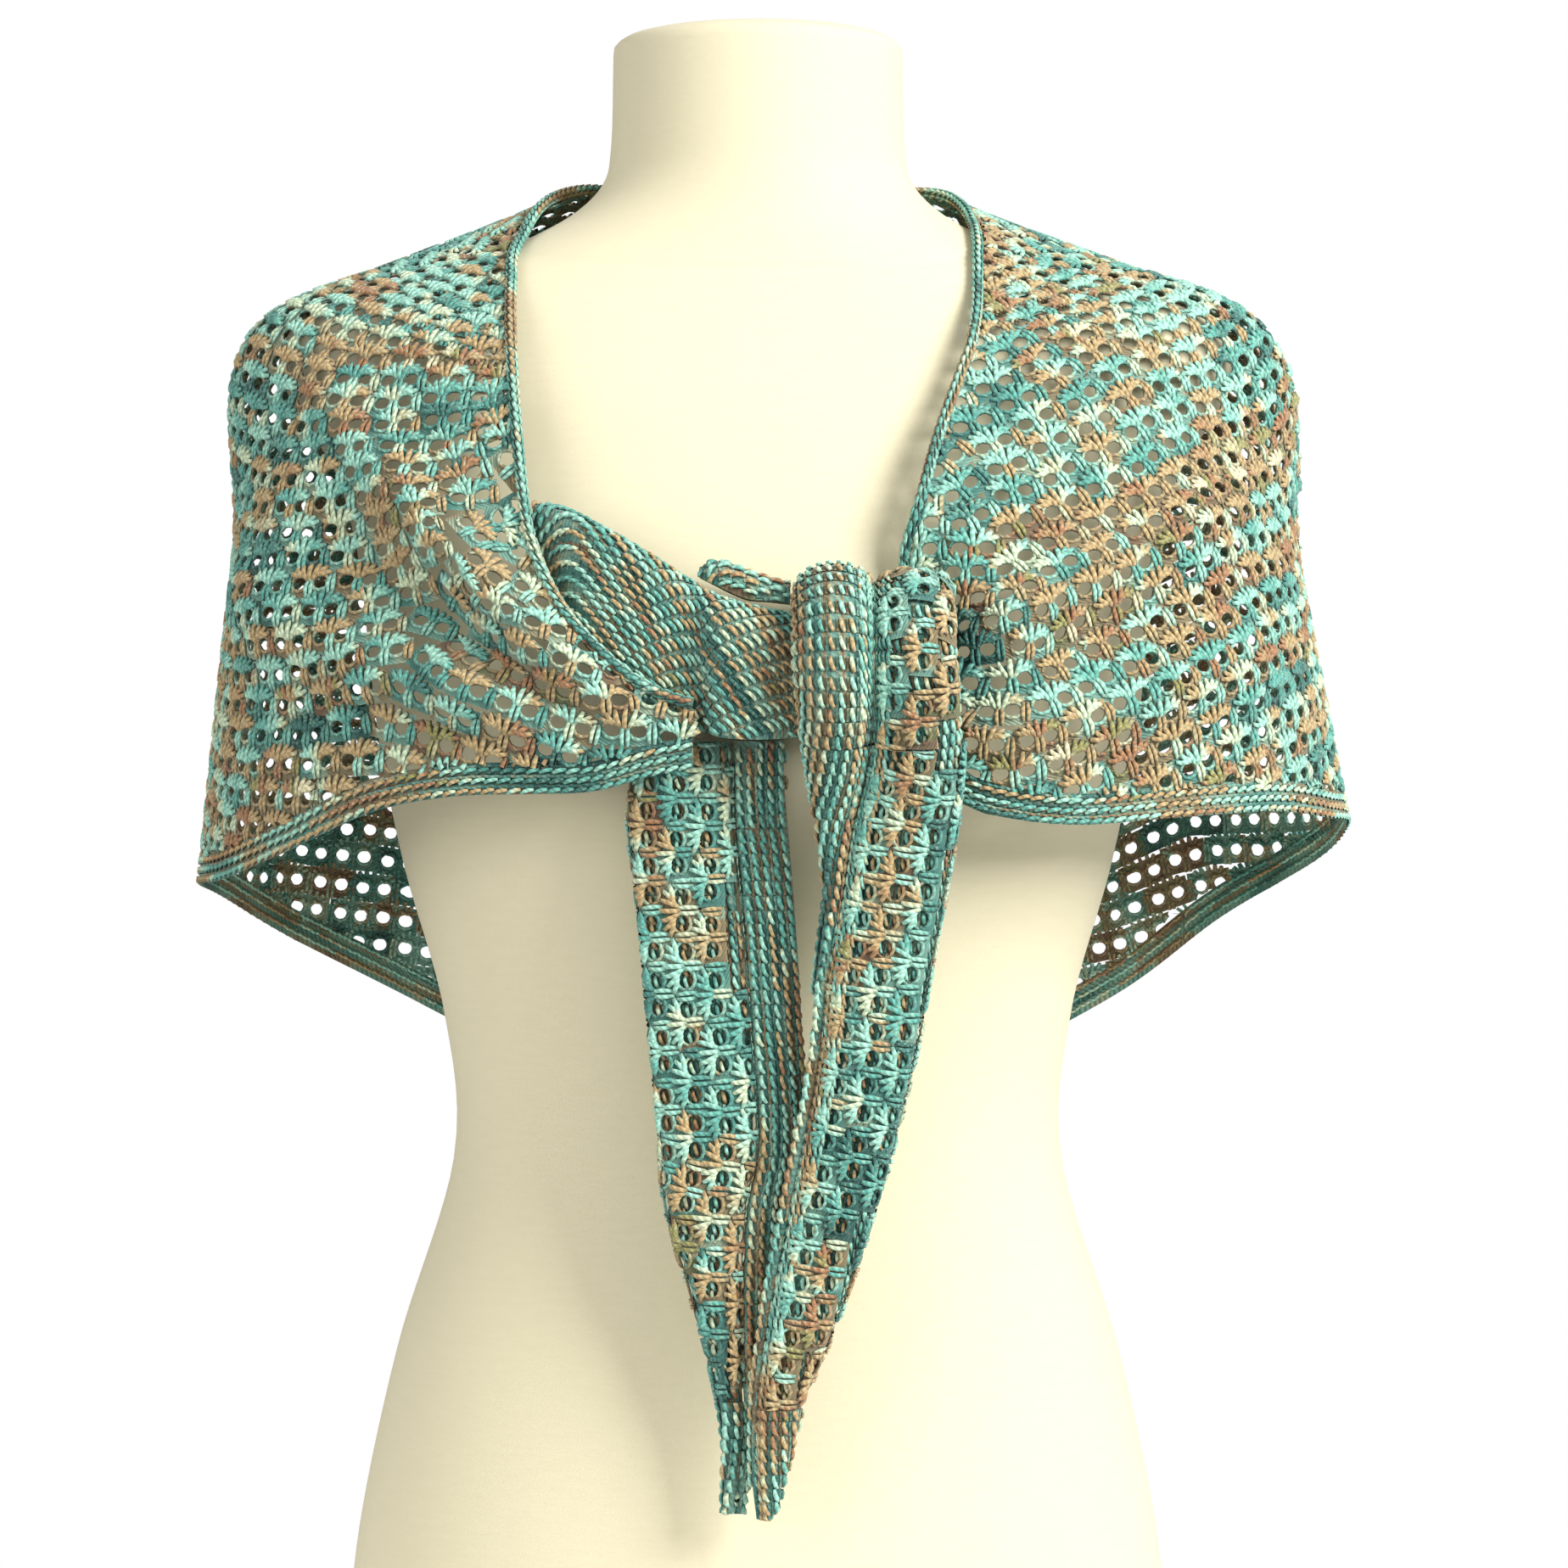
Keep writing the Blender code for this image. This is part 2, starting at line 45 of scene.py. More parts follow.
# Curves and grids
def through(points, at):
    points = np.asarray(points, float)
    at = np.clip(np.asarray(at, float), 0, len(points) - 1)
    first = np.minimum(at.astype(int), len(points) - 2)
    share = (at - first)[..., None]
    ends = np.vstack([2 * points[0] - points[1], points, 2 * points[-1] - points[-2]])
    a, b, c, d = (ends[first + k] for k in range(4))
    bend = 2 * a - 5 * b + 4 * c - d
    twist = 3 * b - a - 3 * c + d
    return b + share * (c - a) / 2 + share**2 * bend / 2 + share**3 * twist / 2


def lengths(points):
    steps = np.linalg.norm(np.diff(points, axis=0), axis=1)
    return np.concatenate([[0.0], np.cumsum(steps)])


def atLengths(points, wanted):
    run = lengths(points)
    return np.stack([np.interp(wanted, run, points[:, k]) for k in range(3)], axis=1)


def lengthsFrom(points, start):
    run = lengths(points)
    return run - run[start]


def runs(grid, axis):
    # running lengths down the columns, 0, or along the rows, 1
    steps = np.linalg.norm(np.diff(grid, axis=axis), axis=2)
    return np.insert(np.cumsum(steps, axis=axis), 0, 0.0, axis=axis)


def acrossFrom(grid, column):
    run = runs(grid, 1)
    return run - run[:, column : column + 1]


def unit(vectors):
    return vectors / np.maximum(np.linalg.norm(vectors, axis=-1, keepdims=True), 1e-9)


def normalsOf(grid):
    return unit(np.cross(np.gradient(grid, axis=1), np.gradient(grid, axis=0)))


def quads(rows, columns, closed=False):
    across = np.arange(columns if closed else columns - 1)
    here = np.arange(rows - 1)[:, None] * columns + across[None, :]
    beside = np.arange(rows - 1)[:, None] * columns + ((across + 1) % columns)[None, :]
    return np.stack([here, beside, beside + columns, here + columns], axis=-1).reshape(-1, 4)


def makeMesh(name, points, faces):
    mesh = bpy.data.meshes.new(name)
    mesh.from_pydata((np.asarray(points).reshape(-1, 3) * mm).tolist(), [], [list(f) for f in faces])
    mesh.shade_smooth()
    item = bpy.data.objects.new(name, mesh)
    scene.collection.objects.link(item)
    return item


def store(item, name, values):
    layer = item.data.attributes.new(name, "FLOAT_VECTOR", "POINT")
    layer.data.foreach_set("vector", np.asarray(values, np.float32).ravel())


# Node trees: a wire is a socket, so that sums of sockets are written as sums
class Wire:
    def __init__(self, graph, socket):
        self.graph, self.socket = graph, socket

    def __add__(self, other):
        return self.graph.math("ADD", self, other)

    def __radd__(self, other):
        return self.graph.math("ADD", other, self)

    def __sub__(self, other):
        return self.graph.math("SUBTRACT", self, other)

    def __rsub__(self, other):
        return self.graph.math("SUBTRACT", other, self)

    def __mul__(self, other):
        return self.graph.math("MULTIPLY", self, other)

    def __truediv__(self, other):
        return self.graph.math("DIVIDE", self, other)


class Graph:
    def __init__(self, tree):
        self.tree = tree

    def add(self, kind, settings=None, inputs=None, output=0):
        node = self.tree.nodes.new(kind)
        for name, value in (settings or {}).items():
            setattr(node, name, value)
        for key, value in (inputs or {}).items():
            if isinstance(value, Wire):
                self.tree.links.new(value.socket, node.inputs[key])
            else:
                node.inputs[key].default_value = value
        return Wire(self, node.outputs[output])

    def beside(self, wire, output):
        return Wire(self, wire.socket.node.outputs[output])

    def math(self, operation, a, b=0.0):
        return self.add("ShaderNodeMath", {"operation": operation}, {0: a, 1: b})

    def vector(self, operation, a, b):
        return self.add("ShaderNodeVectorMath", {"operation": operation}, {0: a, 1: b})

    def scaled(self, vector, factor):
        return self.add("ShaderNodeVectorMath", {"operation": "SCALE"}, {0: vector, 3: factor})

    def join(self, x, y, z=0.0):
        return self.add("ShaderNodeCombineXYZ", None, {0: x, 1: y, 2: z})

    def part(self, wire, axis):
        return self.add("ShaderNodeSeparateXYZ", None, {0: wire}, axis)

    def step(self, value, low, high):
        settings = {"interpolation_type": "SMOOTHSTEP"}
        return self.add("ShaderNodeMapRange", settings, {0: value, 1: low, 2: high})

    def mix(self, share, a, b):
        return self.add("ShaderNodeMix", {"data_type": "RGBA"}, {0: share, 6: a, 7: b}, 2)

    def noise(self, place, scale, detail=2.0, roughness=0.5):
        return self.add("ShaderNodeTexNoise", None, {0: place, 2: scale, 3: detail, 4: roughness})

    def attribute(self, name):
        return self.add("ShaderNodeAttribute", {"attribute_name": name}, None, 1)


# Materials
yarnLook = {
    "roughness": 0.85,
    "sheen": 0.15,
    "runLength": 0.060,
    "rowDrift": 1.7,
    "patchLength": 0.16,
    "patchDrift": 0.17,
    "patchShare": 0.35,
    "chanceShare": 0.05,
    "deepTeal": (0.030, 0.140, 0.120, 1.0),
    "plyTurn": 2.6,
    # painted shade between the plies: dark stripes winding round the yarn
    "plyShare": 0.34,
    "paintedPlyShade": (0.03, 0.05, 0.045, 1.0),
    # painted highlight: pale streaks along and round the yarn
    "paintedHighlightShare": 0.38,
    "pale": (0.610, 0.730, 0.490, 1.0),
    # painted shade: yarn that lies low, near the cloth, is darkened as if in shadow between the stitches
    "paintedShadeDepth": 1.3,
    "paintedShadeShare": 0.62,
    "paintedShade": (0.02, 0.045, 0.04, 1.0),
    "relief": (0.5, 0.0006),
}
yarnRuns = [
    # where the dye changes, from and to, and what it changes to: teal, aqua, mint, tan, rust, olive, cream
    (0.30, 0.41, (0.125, 0.415, 0.340, 1.0)),
    (0.41, 0.46, (0.345, 0.680, 0.540, 1.0)),
    (0.490, 0.507, (0.610, 0.730, 0.490, 1.0)),
    (0.522, 0.538, (0.500, 0.345, 0.160, 1.0)),
    (0.595, 0.62, (0.380, 0.180, 0.080, 1.0)),
    (0.64, 0.66, (0.300, 0.270, 0.090, 1.0)),
    (0.68, 0.70, (0.780, 0.700, 0.440, 1.0)),
]
formLook = {
    "roughness": 0.82,
    "sheen": 0.1,
    "radius": 0.16,
    "thread": 0.0009,
    "dark": (0.625, 0.570, 0.385, 1.0),
    "light": (0.695, 0.635, 0.445, 1.0),
    "relief": (0.25, 0.0002),
}
floorLook = {"roughness": 0.9, "dark": (0.90, 0.90, 0.89, 1.0), "light": (0.93, 0.93, 0.92, 1.0)}


def newMaterial(name, roughness, sheen):
    made = bpy.data.materials.new(name)
    made.use_nodes = True
    shader = made.node_tree.nodes["Principled BSDF"]
    shader.inputs["Roughness"].default_value = roughness
    shader.inputs["Sheen Weight"].default_value = sheen
    shader.inputs["Sheen Roughness"].default_value = 0.5
    shader.inputs["Specular IOR Level"].default_value = 0.25
    return made, Graph(made.node_tree), shader


def connect(graph, shader, colour, relief=None, height=None):
    graph.tree.links.new(colour.socket, shader.inputs["Base Color"])
    if relief:
        strength, distance = relief
        bump = graph.add("ShaderNodeBump", None, {0: strength, 1: distance, "Height": height})
        graph.tree.links.new(bump.socket, shader.inputs["Normal"])


def yarnMaterial():
    look = yarnLook
    made, graph, shader = newMaterial("yarn", look["roughness"], look["sheen"])
    knit, strand = graph.attribute("knitPlace"), graph.attribute("yarnPlace")
    along, row, chance = (graph.part(knit, axis) for axis in range(3))
    run = graph.join(along / look["runLength"], row * look["rowDrift"])
    hue = graph.noise(run, 1.0, 2.0, 0.55)
    wide = graph.join(along / look["patchLength"], row * look["patchDrift"], 4.0)
    patch = graph.noise(wide, 1.0, 1.0)
    hue = hue + (patch - 0.5) * look["patchShare"] + (chance - 0.5) * look["chanceShare"]
    colour = look["deepTeal"]
    for start, end, dye in yarnRuns:
        colour = graph.mix(graph.step(hue, start, end), colour, dye)
    length, angle, depth = (graph.part(strand, axis) for axis in range(3))
    turns = length * (2 * math.pi / look["plyTurn"])
    ply = graph.math("SINE", turns + angle * 2.0 + row * 5.0)
    streak = graph.noise(graph.join(length * 0.9, angle * 0.5, row * 9.0), 1.0, 2.0, 0.6)
    # painted shade in the grooves between the twisted plies; the same stripes give the bump
    plyShade = graph.step(ply + (streak - 0.5) * 1.6, -0.9, 0.9)
    colour = graph.mix(plyShade * look["plyShare"], colour, look["paintedPlyShade"])
    # painted highlight: pale streaks mixed in where the streak noise runs high
    pale = graph.step(streak, 0.50, 0.72)
    colour = graph.mix(pale * look["paintedHighlightShare"], colour, look["pale"])
    # painted shade in the crevices: the closer the yarn lies to the cloth's middle surface, the darker it
    # is painted
    proud = graph.step(graph.math("ABSOLUTE", depth), 0.0, look["paintedShadeDepth"])
    colour = graph.mix((1.0 - proud) * look["paintedShadeShare"], colour, look["paintedShade"])
    connect(graph, shader, colour, look["relief"], plyShade * -1.0 + streak * 0.5)
    return made


def formMaterial():
    look = formLook
    made, graph, shader = newMaterial("woven cotton", look["roughness"], look["sheen"])
    place = graph.add("ShaderNodeTexCoord", None, None, 3)
    x, y, z = (graph.part(place, axis) for axis in range(3))
    turn = graph.math("ARCTAN2", y, x)
    pitch = 2 * math.pi / look["thread"]
    warp = graph.math("SINE", turn * (look["radius"] * pitch))
    weft = graph.math("SINE", z * pitch)
    slub = graph.noise(graph.join(turn * 9.0, z * 420.0), 1.0, 3.0, 0.6)
    grain = warp * weft * 0.5 + slub
    colour = graph.mix(graph.step(grain, -0.4, 1.4), look["dark"], look["light"])
    connect(graph, shader, colour, look["relief"], grain)
    return made


def floorMaterial():
    made, graph, shader = newMaterial("pale floor", floorLook["roughness"], 0.0)
    cloud = graph.noise(graph.add("ShaderNodeTexCoord", None, None, 3), 2.0, 2.0)
    connect(graph, shader, graph.mix(cloud, floorLook["dark"], floorLook["light"]))
    return made


# Yarn motifs, in millimetres: x along the row, y up the knitting, z out of the cloth
strand = {"sides": 4, "tip": 0.72, "start": 1.3}


def strandMesh(name, strokes, pads=()):
    # a stroke is a line, its low end, its rise, the yarn's radius and its place in the row
    sides, tip = strand["sides"], strand["tip"]
    points, faces, yarn, spot = [], [], [], []
    for outer, rim in pads:
        first, count = len(points), len(outer)
        for ring, depth in ((outer, lace["padDepth"]), (rim, lace["rimDepth"])):
            for x, y in ring:
                points.append((x, y, depth))
                # the depth goes into yarnPlace, so the yarn material paints the pads and rims dark as shade
                # between the strands
                yarn.append((x + y, y, depth))
                spot.append((x * mm, 0.45, depth * mm))
        faces += (quads(2, count, closed=True) + first).tolist()
    for number, (line, low, rise, radius, row) in enumerate(strokes):
        line = np.asarray(line, float)
        run = lengths(line)
        share = run / run[-1]
        arch = np.sin(math.pi * share)
        line = np.column_stack([line, low + rise * arch])
        ahead = unit(np.gradient(line, axis=0))
        side = unit(np.cross(ahead, [0.0, 0.0, 1.0]))
        up = np.cross(side, ahead)
        first = len(points)
        for k in range(len(line)):
            taper = radius * (tip + (1 - tip) * arch[k]) if rise > 0 else radius
            for s in range(sides):
                angle = 2 * math.pi * (s + 0.5) / sides
                point = line[k] + taper * (math.cos(angle) * side[k] + math.sin(angle) * up[k])
                points.append(point)
                # the height of each point goes into yarnPlace, so yarn lying low is painted darker as shade
                yarn.append((run[k] + number * strand["start"], angle, point[2]))
                spot.append((point[0] * mm, row, point[2] * mm))
        faces += (quads(len(line), sides, closed=True) + first).tolist()
    item = makeMesh(name, points, faces)
    store(item, "yarnPlace", yarn)
    store(item, "spot", spot)
    return item


def leg(x0, y0, x1, y1, bend=0.0, parts=3):
    share = np.linspace(0, 1, parts + 1)
    across = np.array([-(y1 - y0), x1 - x0]) / math.hypot(x1 - x0, y1 - y0)
    line = np.outer(1 - share, (x0, y0)) + np.outer(share, (x1, y1))
    return line + np.outer(np.sin(math.pi * share), across) * bend


lace = {
    "width": 22.0,
    "height": 11.5,
    "shift": 11.0,
    "yarn": 1.16,
    "fanYarn": 1.34,
    "holeMiddle": (5.2, 1.2),
    "holeReach": (3.2, 2.7),
    "rimGap": 0.75,
    "padDepth": -0.35,
    "rimDepth": 0.15,
    "sideSteps": 4,
    "spare": 0.45,
}
laceFan = [
    # foot x, foot y, tip x, tip y, bend
    (-2.3, 4.6, -10.0, 5.9, 0.7),
    (-2.0, 3.4, -7.5, 8.2, 0.6),
    (-1.2, 2.2, -4.1, 9.4, 0.4),
    (0.0, 1.6, 0.1, 9.9, 0.2),
    (1.2, 2.2, 4.2, 9.3, -0.4),
    (2.0, 3.4, 7.6, 8.1, -0.6),
    (2.3, 4.6, 10.1, 5.8, -0.7),
]
laceStem = [
    (-1.0, -5.4, -0.9, 3.0, 0.3),
    (1.0, -5.2, 0.9, 3.0, -0.3),
    (9.6, -3.6, 9.8, 4.4, 0.4),
    (11.6, -3.8, 11.4, 4.6, -0.3),
]


def laceRim(side, first, last):
    # yarn round one side of a hole
    (x, y), (across, up) = lace["holeMiddle"], lace["holeReach"]
    angles = np.radians(np.linspace(first, last, 5))
    gap = lace["rimGap"]
    across, up = (across + gap) * np.cos(angles), (up + gap) * np.sin(angles)
    return np.column_stack([side * x + across, y + up])


def lacePad(side):
    # the cloth round one hole, from the rim to half way to its neighbours
    (x, y), (across, up) = lace["holeMiddle"], lace["holeReach"]
    spare, steps = lace["spare"], lace["sideSteps"]
    near, far = -side * spare, side * (lace["width"] / 2 + spare)
    low, high = y - lace["height"] / 2 - spare, y + lace["height"] / 2 + spare
    middle = np.array([side * x, y])
    corners = np.array([(near, low), (far, low), (far, high), (near, high), (near, low)])
    share = np.arange(steps) / steps
    outer = np.vstack([a + np.outer(share, b - a) for a, b in zip(corners, corners[1:])])
    if side < 0:
        outer = outer[::-1]
    angles = np.arctan2(outer[:, 1] - y, outer[:, 0] - middle[0])
    rim = middle + np.column_stack([across * np.cos(angles), up * np.sin(angles)])
    return outer, rim


def laceMotif():
    yarn = lace["yarn"]
    strokes = [(leg(*line), -0.2, 1.0, lace["fanYarn"], 0.55) for line in laceFan]
    strokes += [(leg(*line, 2), -0.2, 0.8, yarn, 0.35) for line in laceStem]
    for side in (-1, 1):
        strokes.append((laceRim(side, 165, 15), 0.0, 0.2, yarn * 0.8, 0.6))
        strokes.append((laceRim(side, 195, 345), -0.1, 0.2, yarn * 0.8, 0.45))
    return strandMesh("lace_motif", strokes)


def laceClothMotif():
    return strandMesh("lace_cloth_motif", [], pads=[lacePad(-1), lacePad(1)])


garter = {"width": 5.3, "height": 4.0, "yarn": 1.05, "sink": 0.3}
chain = {"width": 4.6, "height": 2.2, "yarn": 0.85}


def garterMotif():
    yarn = garter["yarn"]
    strokes = [
        (leg(-2.6, -0.75, 2.6, 0.75, 0.5), 0.1, 0.9, yarn, 0.0),
        (leg(-2.65, 1.9, 2.65, 2.1, -0.4, 2), -0.3, 0.0, yarn * 0.8, 0.4),
    ]
    return strandMesh("garter_motif", strokes)


def chainMotif():
    strokes = [(leg(-2.7, -0.75, 2.7, 0.75, 0.3), -0.1, 0.7, chain["yarn"], 0.0)]
    return strandMesh("chain_motif", strokes)


# Knitting over a patch of cloth: a lattice of motifs in the cloth's own places, pressed on its surface
knitInputs = {
    "Motif": "Object",
    "Width": "Float",
    "Height": "Float",
    "Shift": "Float",
    "First Along": "Float",
    "First Up": "Float",
    "Columns": "Int",
    "Rows": "Int",
    "Wander": "Float",
    "Turn": "Float",
    "Unevenness": "Float",
    "Seed": "Int",
    "Yarn": "Material",
}


vectorData = {"data_type": "FLOAT_VECTOR"}


def knitTree():
    tree = bpy.data.node_groups.new("knit over cloth", "GeometryNodeTree")
    tree.interface.new_socket("Geometry", in_out="INPUT", socket_type="NodeSocketGeometry")
    for name, kind in knitInputs.items():
        tree.interface.new_socket(name, in_out="INPUT", socket_type="NodeSocket" + kind)
    tree.interface.new_socket("Geometry", in_out="OUTPUT", socket_type="NodeSocketGeometry")
    graph = Graph(tree)
    entry = tree.nodes.new("NodeGroupInput")
    given = {socket.name: Wire(graph, socket) for socket in entry.outputs if socket.name}
    cloth = given["Geometry"]

    def named(name):
        return graph.add("GeometryNodeInputNamedAttribute", vectorData, {0: name})

    def chance(low, high, offset):
        inputs = {2: low, 3: high, 8: given["Seed"] + offset}
        return graph.add("FunctionNodeRandomValue", {"data_type": "FLOAT"}, inputs, 1)

    index = graph.add("GeometryNodeInputIndex")
    row = graph.math("FLOOR", index / given["Columns"])
    column = index - row * given["Columns"]
    slide = graph.math("FLOORED_MODULO", row * given["Shift"], given["Width"])
    wander = given["Wander"]
    along = given["First Along"] + column * given["Width"] + slide + chance(-1.0, 1.0, 1) * wander
    upward = given["First Up"] + row * given["Height"] + chance(-1.0, 1.0, 2) * wander
    count = given["Columns"] * given["Rows"]
    cells = graph.add("GeometryNodePoints", None, {0: count})
    place = graph.join(along, upward, 0.0)

    def kept(geometry, name, value):
        inputs = {0: geometry, 2: name, 3: value}
        return graph.add("GeometryNodeStoreNamedAttribute", vectorData, inputs)

    def without(geometry, dropped):
        geometry = kept(geometry, "drop", graph.join(dropped, 0.0))
        gone = graph.math("GREATER_THAN", graph.part(named("drop"), 0), 0.5)
        return graph.add("GeometryNodeDeleteGeometry", {"domain": "POINT"}, {0: geometry, 1: gone})

    def onCloth(value):
        inputs = {0: cloth, 1: value, 2: named("cloth"), 3: named("cell")}
        return graph.add("GeometryNodeSampleUVSurface", vectorData, inputs)

    cells = kept(cells, "cell", place)
    rowNumber = row + given["First Up"] / given["Height"]
    cells = kept(cells, "knitPlace", graph.join(along, rowNumber, chance(0.0, 1.0, 3)))
    position = onCloth(graph.add("GeometryNodeInputPosition"))
    inside = graph.beside(position, 1)
    own = graph.part(onCloth(named("reach")), 0)
    outside = graph.math("LESS_THAN", own * inside, 0.5)
    outward, upDirection = onCloth(named("outward")), onCloth(named("upward"))
    cells = kept(cells, "cellOut", outward)
    cells = kept(cells, "cellUp", upDirection)
    cells = graph.add("GeometryNodeSetPosition", None, {0: cells, 2: position})
    cells = without(cells, outside)
    axes = {"primary_axis": "Z", "secondary_axis": "Y"}
    facing = graph.add("FunctionNodeAxesToRotation", axes, {0: named("cellOut"), 1: named("cellUp")})
    swing = chance(-1.0, 1.0, 4) * given["Turn"]
    spin = graph.add("FunctionNodeAxisAngleToRotation", None, {0: (0, 0, 1), 1: swing})
    facing = graph.add("FunctionNodeRotateRotation", {"rotation_space": "LOCAL"}, {0: facing, 1: spin})
    size = 1.0 + chance(-1.0, 1.0, 5) * given["Unevenness"]
    motif = graph.add("GeometryNodeObjectInfo", None, {0: given["Motif"]}, 4)
    inputs = {0: cells, 2: motif, 5: facing, 6: graph.join(size, size, 1.0)}
    stitches = graph.add("GeometryNodeInstanceOnPoints", None, inputs)
    stitches = graph.add("GeometryNodeRealizeInstances", None, {0: stitches})
    spot = named("spot")
    lift = graph.part(spot, 2)

    def nearestCloth(value, at):
        inputs = {0: cloth, 1: value, 3: at}
        return graph.add("GeometryNodeSampleNearestSurface", vectorData, inputs)

    here = graph.add("GeometryNodeInputPosition")
    base = graph.vector("SUBTRACT", here, graph.scaled(named("cellOut"), lift))
    stitches = kept(stitches, "base", base)
    base = named("base")
    stitches = without(stitches, graph.part(nearestCloth(named("reach"), base), 1))
    surface = graph.add("GeometryNodeProximity", {"target_element": "FACES"}, {0: cloth, 2: base})
    raised = graph.vector("ADD", surface, graph.scaled(nearestCloth(named("outward"), base), lift))
    stitches = graph.add("GeometryNodeSetPosition", None, {0: stitches, 2: raised})
    knit = named("knitPlace")
    fine = graph.vector("ADD", knit, graph.join(graph.part(spot, 0), graph.part(spot, 1), 0.0))
    stitches = kept(stitches, "knitPlace", fine)
    stitches = graph.add("GeometryNodeSetMaterial", None, {0: stitches, 2: given["Yarn"]})
    leave = tree.nodes.new("NodeGroupOutput")
    tree.links.new(stitches.socket, leave.inputs[0])
    return tree


def clothPatch(name, points, along, upward, own=1.0, over=0.0):
    # a grid of cloth with its own places, in millimetres, and the knitting's upward direction
    rows, columns = points.shape[:2]
    normal = normalsOf(points)
    di, dj = np.gradient(points, axis=0), np.gradient(points, axis=1)
    ui, uj = np.gradient(along, axis=0), np.gradient(along, axis=1)
    vi, vj = np.gradient(upward, axis=0), np.gradient(upward, axis=1)
    turn = ui * vj - uj * vi
    turn = np.where(np.abs(turn) < 1e-9, 1e-9, turn)[..., None]
    rowWay = (di * vj[..., None] - dj * vi[..., None]) / turn
    upWay = (dj * ui[..., None] - di * uj[..., None]) / turn
    rising = np.cross(normal, rowWay)
    rising = unit(rising * np.sign((rising * upWay).sum(axis=2, keepdims=True)))
    item = makeMesh(name, points, quads(rows, columns).tolist())
    flat = 0 * along
    store(item, "cloth", np.stack([along * mm, upward * mm, flat], axis=-1))
    store(item, "upward", rising)
    store(item, "outward", normal)
    store(item, "reach", np.stack([own + flat, over + flat, flat], axis=-1))
    item["span"] = [float(x) for x in (along.min(), along.max(), upward.min(), upward.max())]
    return item


def knitOver(patch, motif, sizes, seed, firstUp=None, rows=None, looseness=1.0):
    low, high, down, top = patch["span"]
    width, height = sizes["width"], sizes["height"]
    # whole pairs of rows and whole stitches, so that patches side by side carry on the same knitting
    start = math.floor(down / height / 2) * 2 * height if firstUp is None else firstUp
    low = math.floor(low / width - 1) * width
    values = {
        "Motif": motif,
        "Width": width * mm,
        "Height": height * mm,
        "Shift": sizes.get("shift", 0.0) * mm,
        "First Along": low * mm,
        "First Up": start * mm,
        "Columns": int((high - low) / width) + 2,
        "Rows": rows or int((top - start) / height) + 2,
        "Wander": 0.04 * height * looseness * mm,
        "Turn": 0.05 * looseness,
        "Unevenness": 0.05 * looseness,
        "Seed": seed,
        "Yarn": yarn,
    }
    modifier = patch.modifiers.new("knit", "NODES")
    modifier.node_group = knitGroup
    for socket in knitGroup.interface.items_tree:
        if socket.in_out == "INPUT" and socket.name in values:
            modifier[socket.identifier] = values[socket.name]
    patch.update_tag()
    graph = bpy.context.evaluated_depsgraph_get()
    mesh = bpy.data.meshes.new_from_object(patch.evaluated_get(graph), depsgraph=graph)
    patch.modifiers.remove(modifier)
    mesh.shade_smooth()
    made = bpy.data.objects.new(patch.name + "_stitches", mesh)
    scene.collection.objects.link(made)
    return made


scratchLayers = ("cell", "cellOut", "cellUp", "drop", "base", "spot", "cloth", "upward", "outward", "reach")


def joined(name, items):
    bpy.ops.object.select_all(action="DESELECT")
    for item in items:
        item.select_set(True)
    bpy.context.view_layer.objects.active = items[0]
    if len(items) > 1:
        bpy.ops.object.join()
    made = items[0]
    made.name = made.data.name = name
    layers = made.data.attributes
    for layer in [a.name for a in layers]:
        if layer in scratchLayers:
            layers.remove(layers[layer])
    return made


def backing(patch, depth, rowHeight):
    # the cloth behind close stitches, so that no light comes through them
    mesh = patch.data.copy()
    made = bpy.data.objects.new(patch.name + "_backing", mesh)
    scene.collection.objects.link(made)

    def vectors(layer, field="vector"):
        values = np.empty(len(layer) * 3, np.float32)
        layer.foreach_get(field, values)
        return values.reshape(-1, 3)

    place = vectors(mesh.attributes["cloth"].data)
    points = vectors(mesh.vertices, "co") - vectors(mesh.attributes["outward"].data) * depth * mm
    mesh.vertices.foreach_set("co", points.ravel())
    along, rowNumber = place[:, 0], np.floor(place[:, 1] / mm / rowHeight)
    flat = 0 * rowNumber
    store(made, "knitPlace", np.stack([along, rowNumber, flat], axis=1))
    # a depth of 0.2 mm in yarnPlace makes the yarn material paint this backing dark, as shade behind the
    # stitches
    store(made, "yarnPlace", np.stack([along / mm, place[:, 1] * 300, flat - 0.2], axis=1))
    mesh.materials.clear()
    mesh.materials.append(yarn)
    return made


def closeKnit(patch, seed, looseness=1.0):
    # garter stitches and the cloth behind them
    stitches = knitOver(patch, motifs["garter"], garter, seed, looseness=looseness)
    return [stitches, backing(patch, garter["sink"], garter["height"])]


def discard(items):
    for item in items:
        bpy.data.objects.remove(item)


def dress(item, node):
    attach(item, "root")
    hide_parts(node)
    print(item.name, len(item.data.polygons), "faces")


